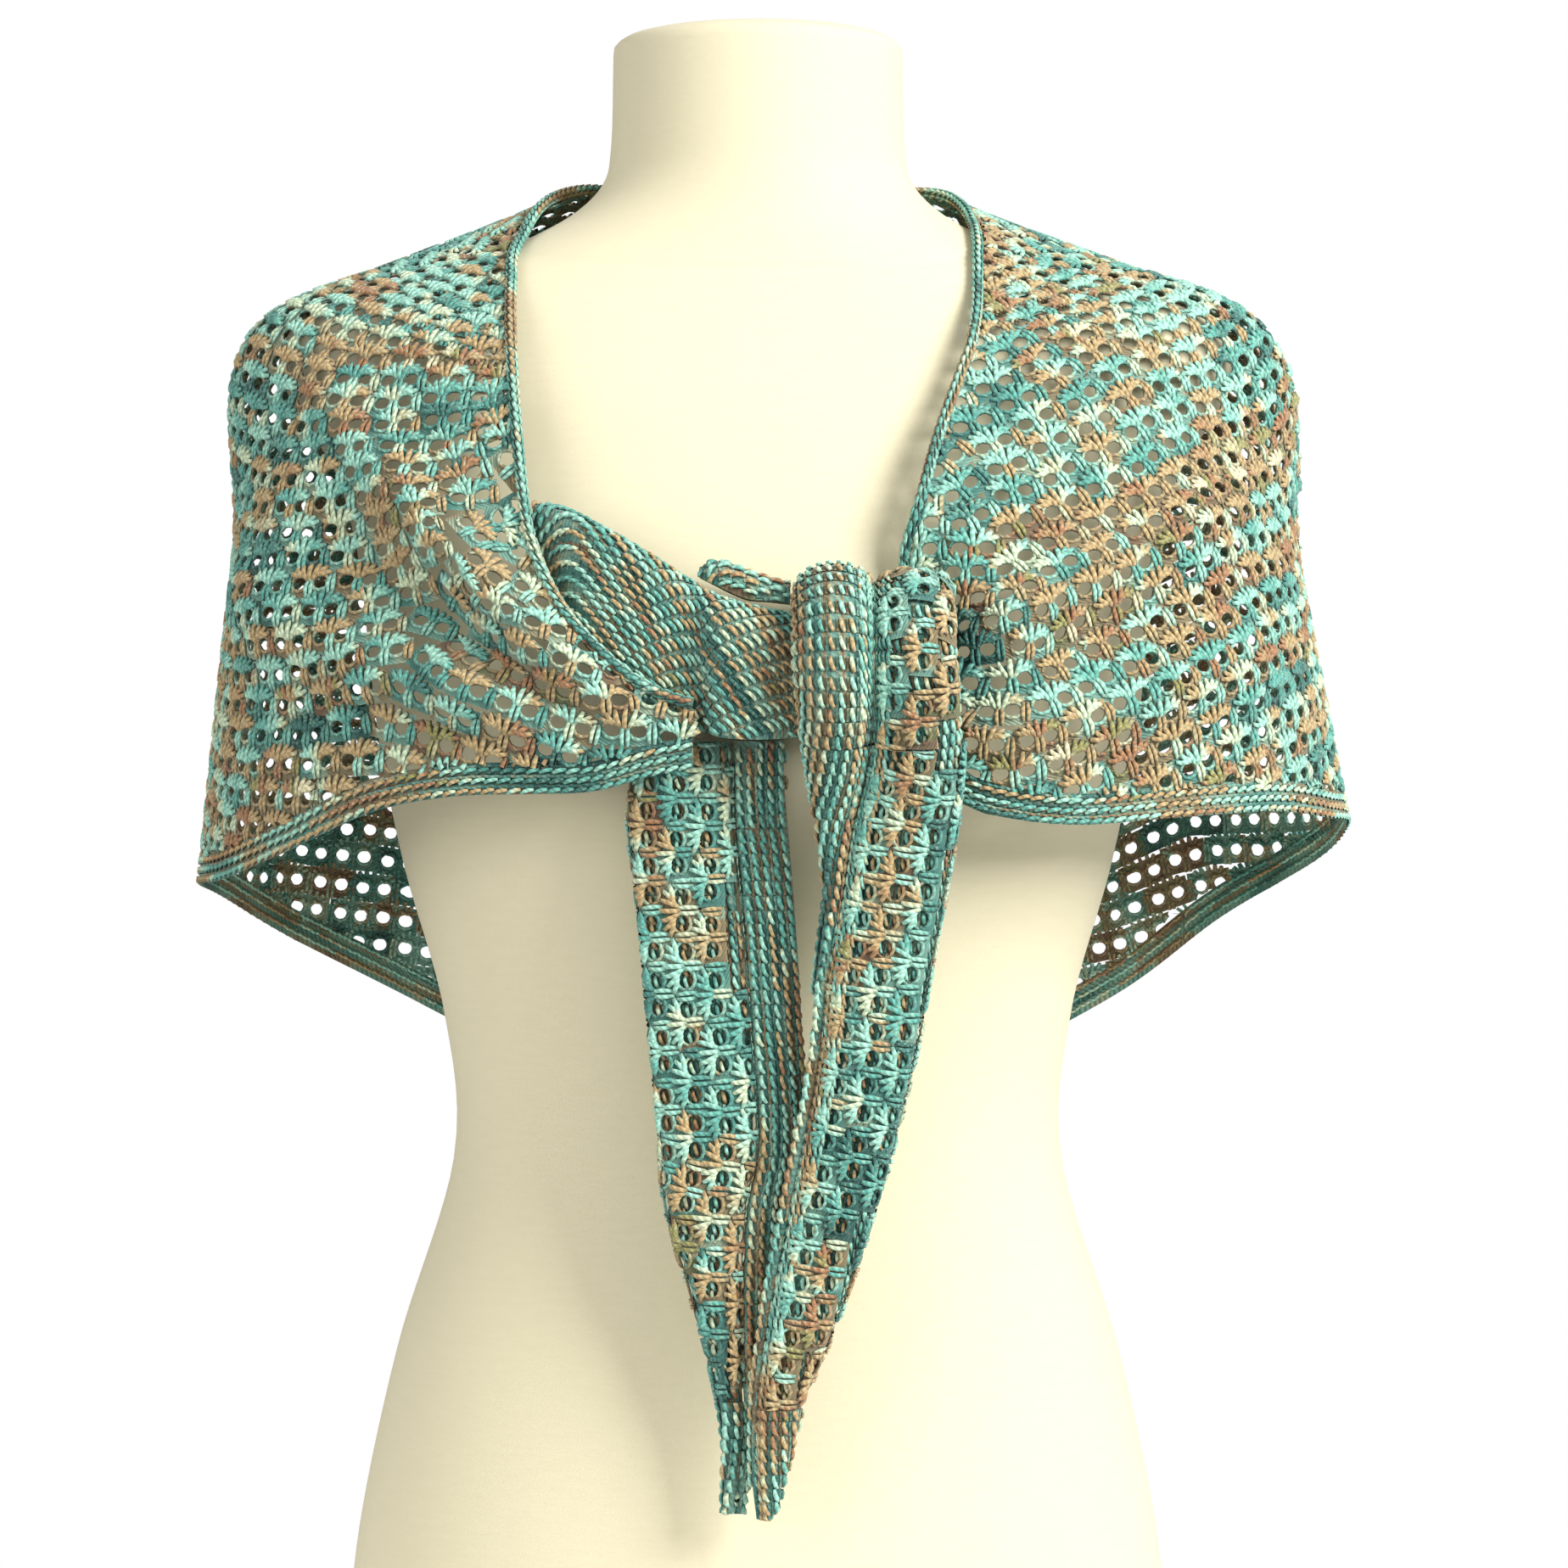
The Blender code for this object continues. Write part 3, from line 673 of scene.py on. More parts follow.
# Dress form
form = {
    "sides": 128,
    "rings": 90,
    "seamRings": 46,
    "seamZone": (632, 708),
    "seamHeight": 646.0,
    "seamFront": -58.0,
    "seamRise": 0.35,
    "seamDepth": 0.9,
    "seamWidth": 1.7,
    "sharpAngle": 50,
}
formSections = [
    # height, half width, front, back, roundness
    (0, 169, -108, 118, 2.2),
    (60, 172, -112, 121, 2.2),
    (120, 168, -111, 118, 2.2),
    (200, 151, -101, 99, 2.2),
    (280, 127, -92, 79, 2.2),
    (340, 131, -97, 80, 2.2),
    (400, 147, -112, 89, 2.3),
    (450, 157, -123, 97, 2.3),
    (490, 162, -122, 102, 2.3),
    (530, 167, -112, 105, 2.4),
    (565, 177, -100, 104, 2.4),
    (592, 194, -89, 99, 2.4),
    (611, 202, -79, 92, 2.3),
    (627, 196, -71, 85, 2.2),
    (639, 171, -65, 80, 2.1),
    (650, 137, -60, 76, 2.1),
    (661, 106, -57, 72, 2.0),
    (673, 81, -54, 70, 2.0),
    (687, 66, -52, 67, 2.0),
    (704, 62, -51, 65, 2.0),
    (742, 61, -50, 63, 2.0),
]
formCap = [(745, 0.995), (747, 0.965), (748.6, 0.92), (749.6, 0.86), (750, 0.78)]


def oval(halfWidth, front, back, roundness, sides):
    angles = np.arange(sides) * 2 * math.pi / sides
    power = 2 / roundness
    across = np.sign(np.cos(angles)) * np.abs(np.cos(angles)) ** power
    along = np.sign(np.sin(angles)) * np.abs(np.sin(angles)) ** power
    return np.stack([halfWidth * across, (front + back) / 2 + (back - front) / 2 * along], axis=1)


def formRing(height, halfWidth, front, back, roundness):
    # even steps round the ring
    sides = form["sides"]
    fine = oval(halfWidth, front, back, roundness, sides * 8)
    fine = np.vstack([fine, fine[:1]])
    run = lengths(fine)
    wanted = np.arange(sides) * run[-1] / sides
    ring = np.stack([np.interp(wanted, run, fine[:, k]) for k in range(2)], axis=1)
    return np.column_stack([ring, np.full(sides, height)])


def buildForm():
    table = np.array(formSections, float)
    run = lengths(table[:, [0, 1, 3]])
    places = np.interp(np.linspace(0, run[-1], form["rings"]), run, np.arange(len(table)))
    seamHeights = np.linspace(*form["seamZone"], form["seamRings"])
    seamPlaces = np.interp(seamHeights, table[:, 0], np.arange(len(table)))
    places = np.unique(np.concatenate([places, seamPlaces]))
    rings = [formRing(*values) for values in through(table, places)]
    halfWidth, front, back, roundness = table[-1, 1:]
    for capHeight, share in formCap:
        middle, reach = (front + back) / 2, (back - front) / 2 * share
        rings.append(formRing(capHeight, halfWidth * share, middle - reach, middle + reach, roundness))
    points = np.stack(rings)
    middle = points.mean(axis=1, keepdims=True)
    seam = form["seamHeight"] + form["seamRise"] * (points[..., 1] - form["seamFront"])
    groove = np.exp(-(((points[..., 2] - seam) / form["seamWidth"]) ** 2)) * form["seamDepth"]
    away = points - middle
    away[..., 2] = 0
    points = points - unit(away) * groove[..., None]
    rows, sides = points.shape[:2]
    faces = quads(rows, sides, closed=True).tolist()
    flat = np.vstack([points.reshape(-1, 3), points[0].mean(axis=0), points[-1].mean(axis=0)])
    bottom, top = rows * sides, rows * sides + 1
    for side in range(sides):
        beside = (side + 1) % sides
        faces.append([bottom, beside, side])
        faces.append([top, (rows - 1) * sides + side, (rows - 1) * sides + beside])
    item = makeMesh("form_cover", flat, faces)
    item.data.set_sharp_from_angle(angle=math.radians(form["sharpAngle"]))
    item.data.materials.append(formMaterial())
    return item


def surfaceOf(item):
    points = [v.co / mm for v in item.data.vertices]
    return BVHTree.FromPolygons(points, [tuple(p.vertices) for p in item.data.polygons])


def keptClear(points, surface, distance):
    moved = np.array(points, float)
    for place in np.ndindex(moved.shape[:-1]):
        point = Vector(moved[place])
        nearest, normal, _, _ = surface.find_nearest(point)
        if (point - nearest).dot(normal) < distance:
            moved[place] = np.array(nearest + normal * distance)
    return moved


# Shawl body
body = {
    "columnStep": 6.0,
    "rows": 64,
    "curvePoints": 96,
    "findSteps": 800,
    "levelStep": 4.0,
    "clear": 2.1,
    "wall": 2.2,
    "tilt": 0.30,
    "spine": 60.0,
    "margin": 7.0,
    "border": 12.0,
    "edgeRadius": 2.1,
    "edgeInset": 1.3,
    "edgeSink": 0.6,
    "edgeSides": 12,
    "edgeRows": 5,
    "borderSpare": 0.5,
    "borderSteps": 9,
    "lap": 2.0,
    "neckLap": 1.2,
    "beyond": 5,
}
bands = {
    # stitches: piece, motif, seed, first row, rows, looseness; cloth behind them: sink, row height
    "border_": ("hem_", "garter", 31, 1.2, 3, 0.7, 0.3, 4.0),
    "neck_edge_": ("edge_", "chain", 51, 0.5, 5, 0.6, 0.2, 2.2),
}
sections = [
    # neckline, over the shoulder, middle, hem, from the knot round the back to the knot
    ((-24, -152, 467), (-24, -154, 460), (-24, -154, 450), (-24, -151, 441)),
    ((-37, -150, 471), (-37, -153, 463), (-38, -153, 452), (-40, -149, 438)),
    ((-53, -147, 481), (-55, -151, 469), (-58, -151, 449), (-63, -145, 432)),
    ((-73, -141, 502), (-76, -147, 483), (-82, -147, 458), (-90, -141, 431)),
    ((-86, -130, 529), (-93, -138, 502), (-105, -141, 467), (-119, -134, 430)),
    ((-91, -117, 557), (-104, -124, 529), (-128, -128, 478), (-151, -118, 424)),
    ((-95, -99, 592), (-122, -103, 565), (-163, -104, 490), (-188, -92, 408)),
    ((-98, -72, 627), (-155, -68, 607), (-203, -64, 525), (-219, -50, 396)),
    ((-98, -36, 653), (-205, -22, 625), (-219, -10, 530), (-235, 0, 393)),
    ((-90, -2, 677), (-207, 16, 625), (-219, 35, 525), (-231, 48, 386)),
    ((-75, 32, 689), (-184, 48, 630), (-203, 78, 520), (-209, 92, 368)),
    ((-52, 58, 692), (-120, 84, 632), (-150, 118, 500), (-160, 126, 340)),
    ((-28, 71, 694), (-62, 100, 628), (-78, 130, 480), (-85, 140, 300)),
    ((0, 75, 694), (0, 106, 625), (0, 136, 460), (0, 146, 262)),
    ((28, 71, 694), (62, 100, 628), (78, 130, 480), (85, 140, 300)),
    ((52, 58, 692), (120, 84, 632), (150, 118, 500), (160, 126, 340)),
    ((77, 32, 687), (185, 48, 632), (207, 78, 520), (205, 98, 376)),
    ((87, -2, 674), (207, 14, 627), (226, 35, 530), (243, 52, 403)),
    ((88, -34, 657), (205, -22, 627), (226, -6, 530), (249, 6, 418)),
    ((88, -65, 633), (160, -64, 612), (212, -54, 525), (236, -38, 421)),
    ((85, -84, 613), (140, -90, 585), (188, -92, 510), (212, -74, 424)),
    ((79, -95, 596), (118, -106, 560), (158, -114, 495), (184, -101, 423)),
    ((70, -110, 571), (100, -122, 535), (130, -129, 480), (156, -118, 421)),
    ((63, -122, 545), (85, -131, 515), (108, -142, 470), (128, -130, 419)),
    ((57, -120, 522), (74, -127, 500), (88, -142, 463), (103, -138, 421)),
    ((60, -118, 509), (67, -121, 493), (72, -138, 462), (80, -141, 427)),
    ((54, -119, 500), (55, -122, 488), (56, -131, 466), (58, -138, 446)),
]
backSection = 13
netParts = [
    # piece, node's stretch, first section, last section
    ("knit_left_front", "left_front", 0.0, 6.4),
    ("knit_left_shoulder", "left_shoulder", 6.4, 10.4),
    ("knit_back_left", "back", 10.4, 13.0),
    ("knit_back_right", "back", 13.0, 15.6),
    ("knit_right_shoulder", "right_shoulder", 15.6, 19.6),
    ("knit_right_front", "right_front", 19.6, 26.0),
]
stretches = [
    # node's stretch, first section, last section
    ("left_front", 0.0, 6.4),
    ("left_shoulder", 6.4, 10.4),
    ("back", 10.4, 15.6),
    ("right_shoulder", 15.6, 19.6),
    ("right_front", 19.6, 26.0),
]

# Folds: first section, share of the way to the hem, last section, share, half width, height
folds = [
    (7.4, 0.30, 0.6, 0.30, 12, 12),
    (7.0, 0.44, 1.5, 0.48, 10, -6),
    (7.6, 0.60, 1.8, 0.62, 13, 6),
    (7.2, 0.74, 3.0, 0.78, 12, -3),
    (18.8, 0.52, 25.0, 0.36, 13, 7),
    (19.0, 0.62, 25.0, 0.52, 10, -3),
    (19.2, 0.76, 25.0, 0.70, 12, 5),
    (8.6, 0.40, 10.2, 0.98, 22, 5),
    (10.6, 0.45, 11.2, 0.98, 24, -5),
    (11.6, 0.35, 12.2, 0.98, 24, 6),
    (14.6, 0.35, 13.9, 0.98, 24, 6),
    (15.6, 0.45, 15.0, 0.98, 24, -5),
    (17.6, 0.40, 16.4, 0.98, 22, 5),
]
foldSpread = 0.16
foldLength = 110
foldFade = 0.6
foldWaves = [(0.18, 2.1, 9), (0.12, 5.3, 4)]


def sectionCurve(place):
    table = np.array(sections, float)
    corners = np.stack([through(table[:, k], [place])[0] for k in range(4)])
    run = lengths(corners) ** 0.5
    fine = np.linspace(0, run[-1], body["curvePoints"])
    return through(corners, np.interp(fine, run, np.arange(4)))


def foldHeight(place, share, length):
    lift = np.zeros_like(share)
    for start, startShare, end, endShare, halfWidth, height in folds:
        along = (place - start) / (end - start)
        if not 0 < along < 1:
            continue
        fade = math.sin(math.pi * along) ** foldFade
        ridge = startShare + (endShare - startShare) * along
        narrow = min(halfWidth, foldSpread * length)
        steep = min(1.0, length / foldLength)
        uneven = 1.0
        for (size, pace, turn), shift in zip(foldWaves, (startShare, endShare)):
            uneven += size * math.sin(pace * place + turn * shift)
        lift += height * uneven * fade * steep * np.exp(-(((share - ridge) * length / narrow) ** 2))
    return lift


def bodyPlaces():
    fine = np.linspace(0, len(sections) - 1, body["findSteps"])
    run = lengths(np.stack([sectionCurve(p)[body["curvePoints"] // 2] for p in fine]))
    count = round(run[-1] / body["columnStep"])
    return np.interp(np.linspace(0, run[-1], count + 1), run, fine)


def bodyGrid(places, surface):
    share = np.linspace(0, 1, body["rows"])
    columns, lifts = [], []
    for place in places:
        curve = sectionCurve(place)
        length = lengths(curve)[-1]
        columns.append(atLengths(curve, share * length))
        lifts.append(foldHeight(place, share, length))
    grid = np.stack(columns, axis=1)
    grid = grid + normalsOf(grid) * np.stack(lifts, axis=1)[..., None]
    return keptClear(grid, surface, body["clear"])


def slantAt(grid, row):
    along = np.gradient(grid[row], axis=0)
    down = grid[1] - grid[0] if row == 0 else grid[-1] - grid[-2]
    area = np.linalg.norm(np.cross(along, down), axis=1)
    return area / np.linalg.norm(along, axis=1) / np.linalg.norm(down, axis=1)


def extended(grid, reach):
    # two more rows above the neckline and two more columns past each end
    step = unit(grid[0] - grid[1]) * reach
    grid = np.concatenate([(grid[0] + 2 * step)[None], (grid[0] + step)[None], grid])
    for _ in range(2):
        first = unit(grid[:, :1] - grid[:, 1:2]) * reach
        last = unit(grid[:, -1:] - grid[:, -2:-1]) * reach
        grid = np.concatenate([grid[:, :1] + first, grid, grid[:, -1:] + last], axis=1)
    return grid


def fromHem(grid):
    # how far each point lies from the hem, square to it
    return runs(grid[::-1], 0)[::-1] * slantAt(grid, -1)


def fromNeck(grid):
    return runs(grid, 0) * slantAt(grid, 0)


def levelLines(grid, height, levels):
    # the point of each column at each level
    lines = np.empty((len(levels), grid.shape[1], 3))
    for column in range(grid.shape[1]):
        order = np.argsort(height[:, column])
        for axis in range(3):
            lines[:, column, axis] = np.interp(levels, height[order, column], grid[order, column, axis])
    return lines


def alongRows(grid, height, centre):
    # distance from the middle of the back along lines of equal height
    step = body["levelStep"]
    levels = np.arange(height.min(), height.max() + step, step)
    run = acrossFrom(levelLines(grid, height, levels), centre)
    return np.stack([np.interp(height[:, c], levels, run[:, c]) for c in range(grid.shape[1])], axis=1)


def middleOfBack(places):
    return int(np.argmin(np.abs(places - backSection)))


def buildBody(surface):
    places = bodyPlaces()
    grid = bodyGrid(places, surface)
    margin = 2
    wide = extended(grid, body["margin"])
    widePlaces = np.concatenate([[places[0]] * margin, places, [places[-1]] * margin])
    centre = middleOfBack(widePlaces)
    hemRun = lengthsFrom(wide[-1], centre)
    distance = fromHem(wide)
    neckDistance = fromNeck(wide[margin:])
    neckDistance = np.concatenate([np.full((margin, wide.shape[1]), -1.0), neckDistance])
    height = distance + body["tilt"] * (np.sqrt(hemRun**2 + body["spine"] ** 2) - body["spine"])
    along = alongRows(wide, height, centre)
    over = ((distance < body["border"] - body["lap"]) | (neckDistance < body["neckLap"])).astype(float)
    over[:, :margin] = 1
    over[:, -margin:] = 1
    made = {}
    for number, (name, stretch, first, last) in enumerate(netParts):
        inside = (widePlaces >= first) & (widePlaces <= last)
        columns = np.flatnonzero(inside)
        part = slice(max(0, columns[0] - body["beyond"]), columns[-1] + body["beyond"] + 1)
        own = np.broadcast_to(inside.astype(float), height.shape)
        patch = clothPatch("net", *(values[:, part] for values in (wide, along, height, own, over)))
        for piece, motif in ((name, "laceCloth"), (yarnOf(name), "lace")):
            made[piece] = joined(piece, [knitOver(patch, motifs[motif], lace, 11 + number)])
            dress(made[piece], "lace_" + stretch)
        discard([patch])
    buildBorder(wide[:, margin:-margin], places, made)
    buildNeckEdge(grid, places, made)
    return made


def yarnOf(name):
    return name.replace("knit_", "yarn_")


def buildBands(node, sizes, grid, along, upward, places, made):
    prefix, motif, seed, firstUp, rows, looseness, sink, rowHeight = bands[node]
    along, upward = np.broadcast_to(along, grid.shape[:2]), np.broadcast_to(upward, grid.shape[:2])
    for number, (name, first, last) in enumerate(stretches):
        columns = np.flatnonzero((places >= first) & (places <= last))
        part = slice(columns[0], min(len(places), columns[-1] + 2))
        patch = clothPatch("band", grid[:, part], along[:, part], upward[:, part])
        stitches = knitOver(patch, motifs[motif], sizes, seed + number, firstUp, rows, looseness)
        piece = prefix + name
        made[piece] = joined(piece, [stitches, backing(patch, sink, rowHeight)])
        discard([patch])
        dress(made[piece], node + name)


def buildBorder(grid, places, made):
    hem = fromHem(grid)
    centre = middleOfBack(places)
    levels = np.linspace(body["border"] + body["borderSpare"], 0, body["borderSteps"])
    band = levelLines(grid, hem, levels)
    buildBands("border_", garter, band, lengthsFrom(grid[-1], centre), levels[:, None], places, made)


def buildNeckEdge(grid, places, made):
    inset = body["edgeInset"] / slantAt(grid, 0)
    line = np.stack([atLengths(grid[:, c], inset[c : c + 1])[0] for c in range(grid.shape[1])])
    line = line + normalsOf(grid)[0] * (body["edgeRadius"] - body["wall"] / 2)
    ahead = unit(np.gradient(line, axis=0))
    across = unit(np.cross(ahead, [0.0, 0.0, 1.0]))
    rise = np.cross(across, ahead)
    sides, radius = body["edgeSides"], body["edgeRadius"] - body["edgeSink"]
    girth = 2 * math.pi * radius
    angles = np.linspace(0, 2 * math.pi, sides + 1)
    tube = np.stack([line + radius * (math.cos(a) * across + math.sin(a) * rise) for a in angles])
    if ((tube - line) * normalsOf(tube)).sum() < 0:
        tube = tube[::-1]
    upward = (np.arange(sides + 1) * girth / sides)[:, None]
    around = {"width": chain["width"], "height": girth / body["edgeRows"], "shift": 1.5}
    buildBands("neck_edge_", around, tube, lengths(line), upward, places, made)


# Knot and tails
knot = {"archPoints": 17, "rollRows": 60, "rollSteps": 5, "slope": 50, "loopRows": 24, "loopSteps": 6}
roll = [
    # x, top, bottom, front, back
    (-87.5, 545, 536, -122.5, -117.5),
    (-77, 543, 508, -131, -120),
    (-66, 538, 488, -138, -123),
    (-45, 526, 468, -144, -127),
    (-31, 517, 459, -146.5, -128),
    (-21.5, 511, 456, -148, -129),
    (-14, 507, 453, -157, -130),
    (0, 503, 452, -158, -130),
    (16, 500, 453, -156, -131),
    (45, 497, 457, -151, -131),
]
loop = [
    (-22, 520, 515.5, -136, -126),
    (-14, 521.5, 511.5, -139, -125),
    (-4, 518, 507, -140, -125),
    (5, 515, 506, -139, -126),
    (13.4, 513, 505, -138, -127),
]
rightRoute = [
    # left x, right x, y, z, crease share, left hump, right hump
    (15.5, 76.3, -133, 505.3, 0.50, 10, 9),
    (15.5, 77, -140, 508, 0.50, 12, 10),
    (15, 77, -149, 506, 0.49, 13, 12),
    (15, 77.5, -159, 497, 0.49, 14, 13),
    (15, 78.5, -164, 482, 0.48, 14, 14),
    (16.5, 79.5, -162, 467, 0.46, 14, 14),
    (18, 80.5, -157, 452, 0.42, 12, 14),
    (20.5, 80, -151, 436, 0.36, 9, 13),
    (23.5, 78.5, -147, 418, 0.26, 6, 11),
    (26.5, 74, -145, 393, 0.16, 4, 9),
    (23, 68, -143, 360, 0.12, 3, 8),
    (20, 61, -141, 325, 0.12, 2, 7.5),
    (10, 47.5, -139, 272, 0.12, 2, 6.5),
    (2.5, 33, -137.5, 229, 0.12, 1.5, 6),
    (-1.5, 19.5, -136.5, 196, 0.15, 1.5, 5),
    (-1.8, 12, -136, 167, 0.2, 1.5, 4),
    (0, 7, -136, 149, 0.3, 1, 3),
]
leftRoute = [
    (-47, 11, -131.2, 451.6, 0.66, 9, 6),
    (-49.5, 11.5, -131, 433, 0.66, 11, 5),
    (-50.5, 13, -130.5, 416, 0.66, 9, 4),
    (-46.5, 15.5, -130, 384, 0.66, 6, 3.5),
    (-43, 18, -129, 344, 0.66, 5.5, 3),
    (-38, 20, -128.5, 295, 0.66, 5, 3),
    (-35.5, 12, -128.5, 269, 0.66, 5, 3),
    (-26, 5, -128.5, 236, 0.66, 4.5, 2.5),
    (-18, 1.5, -128.5, 208, 0.66, 4, 2.5),
    (-13, 0, -128.5, 180, 0.66, 3.5, 2),
    (-13, -5, -128.5, 150, 0.6, 2.5, 2),
]
wrapEnd = 6
strip = {
    "rowStep": 4.0,
    "tip": 46.0,
    "layerDepth": 2.2,
    "humpColumns": 11,
    "fullness": 0.8,
    "creaseDepth": 0.45,
    "nudge": 0.1,
    "backLayer": 3.4,
    "backColumns": 6,
    "backReach": 0.62,
    "looseness": 1.3,
    "seamReach": 3,
}


def rollGrid(table, rows, perStation):
    table = np.array(table, float)
    places = np.linspace(len(table) - 1, 0, (len(table) - 1) * perStation + 1)
    columns = []
    for x, top, bottom, front, back in through(table, places):
        reach = (back - front) / 2
        rise = min(reach, (top - bottom) / 2)
        angles = np.linspace(0, math.pi, knot["archPoints"])
        arcY = (front + back) / 2 + reach * np.cos(angles)
        arcZ = top - rise + rise * np.sin(angles)
        arc = [(x, y, z) for y, z in zip(arcY, arcZ)]
        line = np.array([(x, back, bottom)] + arc + [(x, front, bottom)])
        columns.append(atLengths(line, np.linspace(0, lengths(line)[-1], rows)))
    return np.stack(columns, axis=1)


def stripGrid(table, places, foldedSide):
    values = through(table, places)
    ahead = through(table, places + strip["nudge"]) - through(table, places - strip["nudge"])
    slope = unit(ahead[:, 2:4])
    count = strip["humpColumns"]
    angles = np.linspace(0, math.pi, count)
    rows = []
    for (left, right, y, z, crease, leftHump, rightHump), (dy, dz) in zip(values, slope):
        width = right - left
        line = []
        for start, end, height in ((0, crease, leftHump), (crease, 1, rightHump)):
            for angle in angles:
                share = (start + end) / 2 - math.cos(angle) * (end - start) / 2
                line.append((left + width * share, height * math.sin(angle) ** strip["fullness"]))
        floor = strip["creaseDepth"] * min(leftHump, rightHump)
        line[count - 1 : count + 1] = [(left + width * crease, floor)]
        under = []
        for k in range(1, strip["backColumns"] + 1):
            reach = width * strip["backReach"] * k / strip["backColumns"]
            under.append((right - reach if foldedSide > 0 else left + reach, -strip["backLayer"]))
        if foldedSide > 0:
            line = line + under
        elif foldedSide < 0:
            line = under[::-1] + line
        rows.append([(x, y + dz * out, z - dy * out) for x, out in line])
    return np.array(rows)[:, ::-1]


def routeGrid(route, first, last, foldedSide):
    table = np.array(route, float)
    centre = np.column_stack([(table[:, 0] + table[:, 1]) / 2, table[:, 2], table[:, 3]])
    run = lengths(centre)
    wanted = np.linspace(run[first], run[last], int((run[last] - run[first]) / strip["rowStep"]) + 2)
    places = np.interp(wanted, run, np.arange(len(table)))
    return stripGrid(table, places, foldedSide), wanted


def buildStrip(name, node, route, first, last, foldedSide, seed):
    # columns run from the right edge to the left one, with the folded layer outside
    grid, run = routeGrid(route, first, last, foldedSide)
    backColumns = strip["backColumns"] if foldedSide > 0 else 0
    crease = backColumns + strip["humpColumns"] - 1
    across = acrossFrom(grid, crease)
    along = np.broadcast_to(run[:, None], grid.shape[:2])
    patches = []

    def cut(rows, columns, inward=0.0):
        points = grid[rows, columns]
        points = points - normalsOf(points) * inward
        patches.append(clothPatch("strip", points, along[rows, columns], across[rows, columns]))
        return patches[-1]

    whole, rightPart, leftPart = slice(None), slice(0, crease + 1), slice(crease, None)
    bandSide, laceSide = (rightPart, leftPart) if foldedSide < 0 else (leftPart, rightPart)
    items, loose = [], strip["looseness"]
    tip = int(np.searchsorted(run, run[-1] - strip["tip"])) if foldedSide else len(run) - 1
    laceRows = slice(0, tip + 1)
    if foldedSide:
        # the end of a tail is close stitches right across
        items += closeKnit(cut(slice(tip, None), laceSide), seed + 3, loose)
    items += closeKnit(cut(whole, bandSide), seed, loose)
    net = cut(laceRows, laceSide)
    for motif in ("laceCloth", "lace"):
        items.append(knitOver(net, motifs[motif], lace, seed + 1))
    # close stitches of the layer behind, seen through the holes
    items += closeKnit(cut(laceRows, laceSide, strip["layerDepth"]), seed + 4, loose)
    if foldedSide >= 0:
        seam = cut(whole, slice(crease - strip["seamReach"], crease + strip["seamReach"] + 1))
        items.append(knitOver(seam, motifs["chain"], chain, seed + 2, looseness=0.5))
    piece = joined(name, items)
    discard(patches)
    dress(piece, node)


def buildRoll(name, node, grid, side, slope, seed):
    # the rows of the knitting climb round the roll
    down = runs(grid, 0)
    side = np.broadcast_to(side, down.shape)
    along = side * math.cos(slope) + down * math.sin(slope)
    upward = side * math.sin(slope) - down * math.cos(slope)
    patch = clothPatch("roll", grid, along, upward)
    piece = joined(name, closeKnit(patch, seed))
    discard([patch])
    dress(piece, node)


def buildKnot():
    grid = rollGrid(roll, knot["rollRows"], knot["rollSteps"])
    side = lengths(grid[len(grid) // 2])
    buildRoll("knit_roll", "knot_roll", grid, side[-1] - side, math.radians(knot["slope"]), 71)
    grid = rollGrid(loop, knot["loopRows"], knot["loopSteps"])
    buildRoll("knit_loop", "knot_loop", grid, lengths(grid[len(grid) // 2]), 0.0, 81)
    buildStrip("knit_wrap", "knot_wrap", rightRoute, 0, wrapEnd, 0, 91)
    buildStrip("knit_tail_right", "tail_right", rightRoute, wrapEnd, len(rightRoute) - 1, 1, 95)
    buildStrip("knit_tail_left", "tail_left", leftRoute, 0, len(leftRoute) - 1, -1, 99)


# Studio
studio = {
    "cameraPlace": (0.011, -1.8, 0.435),
    "lens": 98.2,
    "lights": [("key", (1.8, -1.5, 1.6), 112.0, 1.2), ("fill", (-1.7, -1.6, 0.9), 24.0, 1.6)],
    "lightTarget": (0, 0, 0.45),
    "surround": 0.52,
    "floorReach": 520.0,
    "floorSides": 96,
}


def areaLight(name, place, power, size):
    data = bpy.data.lights.new(name, "AREA")
    data.energy = power
    data.size = size
    item = bpy.data.objects.new(name, data)
    item.location = place
    way = Vector(studio["lightTarget"]) - Vector(place)
    item.rotation_euler = way.to_track_quat("-Z", "Y").to_euler()
    scene.collection.objects.link(item)


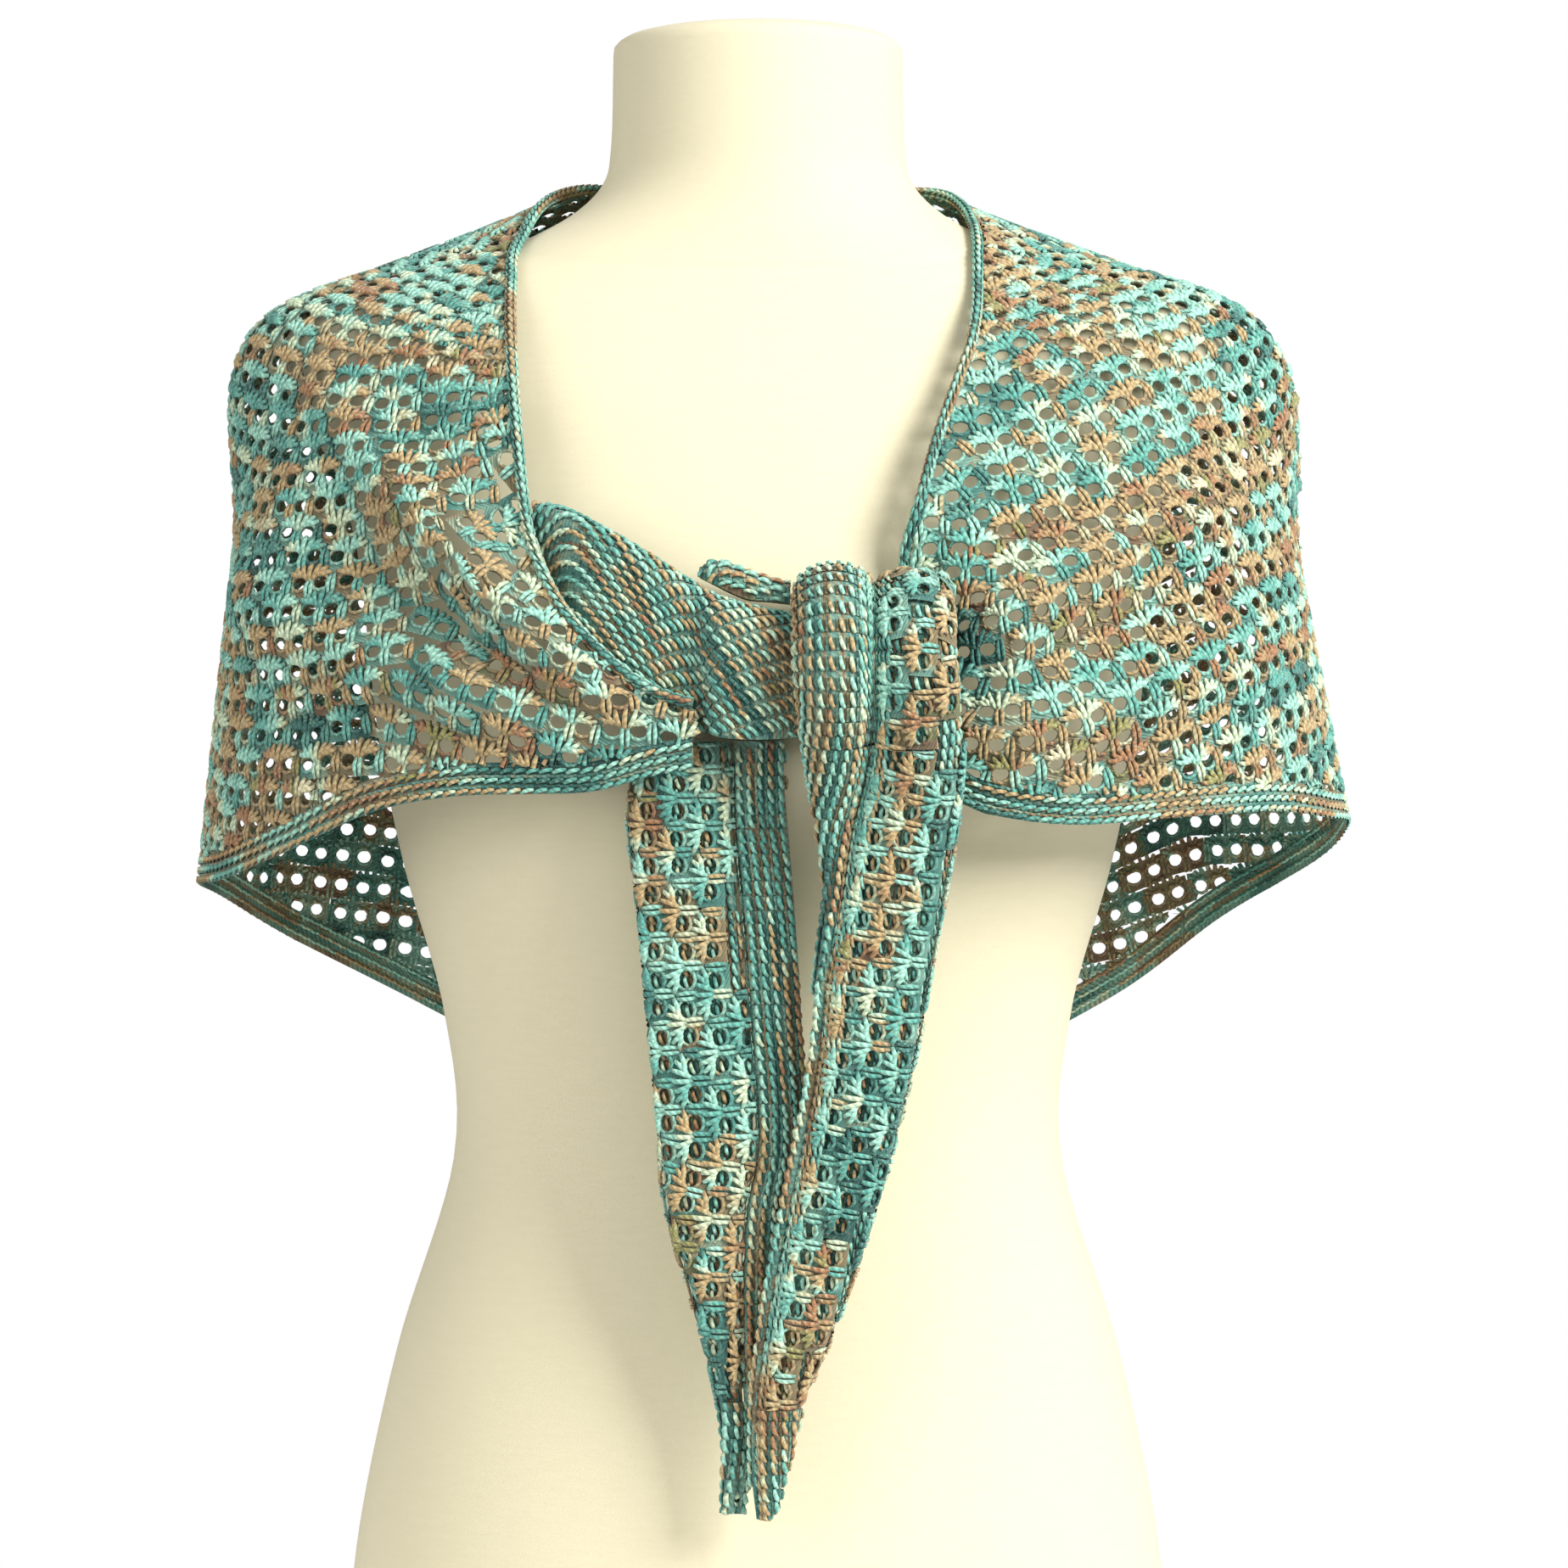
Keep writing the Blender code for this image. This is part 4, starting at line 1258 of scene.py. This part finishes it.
def buildStudio():
    data = bpy.data.cameras.new("camera")
    data.lens = studio["lens"]
    data.sensor_width = 36.0
    camera = bpy.data.objects.new("camera", data)
    camera.location = studio["cameraPlace"]
    camera.rotation_euler = (math.radians(90), 0, 0)
    scene.collection.objects.link(camera)
    scene.camera = camera
    for light in studio["lights"]:
        areaLight(*light)
    world = bpy.data.worlds.new("surround")
    world.use_nodes = True
    graph = Graph(world.node_tree)
    backdrop = world.node_tree.nodes["Background"]
    ray = graph.add("ShaderNodeLightPath")
    strength = studio["surround"] + ray * (1.0 - studio["surround"])
    world.node_tree.links.new(strength.socket, backdrop.inputs["Strength"])
    backdrop.inputs["Color"].default_value = (1.0, 1.0, 1.0, 1.0)
    scene.world = world
    scene.view_settings.view_transform = "Standard"
    sides = studio["floorSides"]
    turns = np.arange(sides) * 2 * math.pi / sides
    rim = np.column_stack([np.cos(turns), np.sin(turns), 0 * turns]) * studio["floorReach"]
    floor = makeMesh("floor", rim, [list(range(sides))])
    floor.data.materials.append(floorMaterial())


buildStudio()
yarn = yarnMaterial()
knitGroup = knitTree()
motifs = {
    "lace": laceMotif(),
    "laceCloth": laceClothMotif(),
    "garter": garterMotif(),
    "chain": chainMotif(),
}
print("motifs made")
formItem = buildForm()
dress(formItem, "dress_form")
bodyPieces = buildBody(surfaceOf(formItem))
print("body knitted")
buildKnot()
print("knot knitted")
discard(list(motifs.values()))

# Cut of the cloth that shows
sheets = {
    "knit_left_front": (0.155, 0.12, "folded", "left_front"),
    "knit_left_shoulder": (0.20, 0.34, "draped", "left_shoulder"),
    "knit_back_left": (0.19, 0.385, "draped", "back"),
    "knit_back_right": (0.20, 0.385, "draped", None),
    "knit_right_shoulder": (0.19, 0.32, "draped", "right_shoulder"),
    "knit_right_front": (0.175, 0.145, "folded", "right_front"),
}
for name, (width, length, held, stretch) in sheets.items():
    pieces = [bodyPieces[yarnOf(name)]]
    if stretch:
        pieces += [bodyPieces["hem_" + stretch], bodyPieces["edge_" + stretch]]
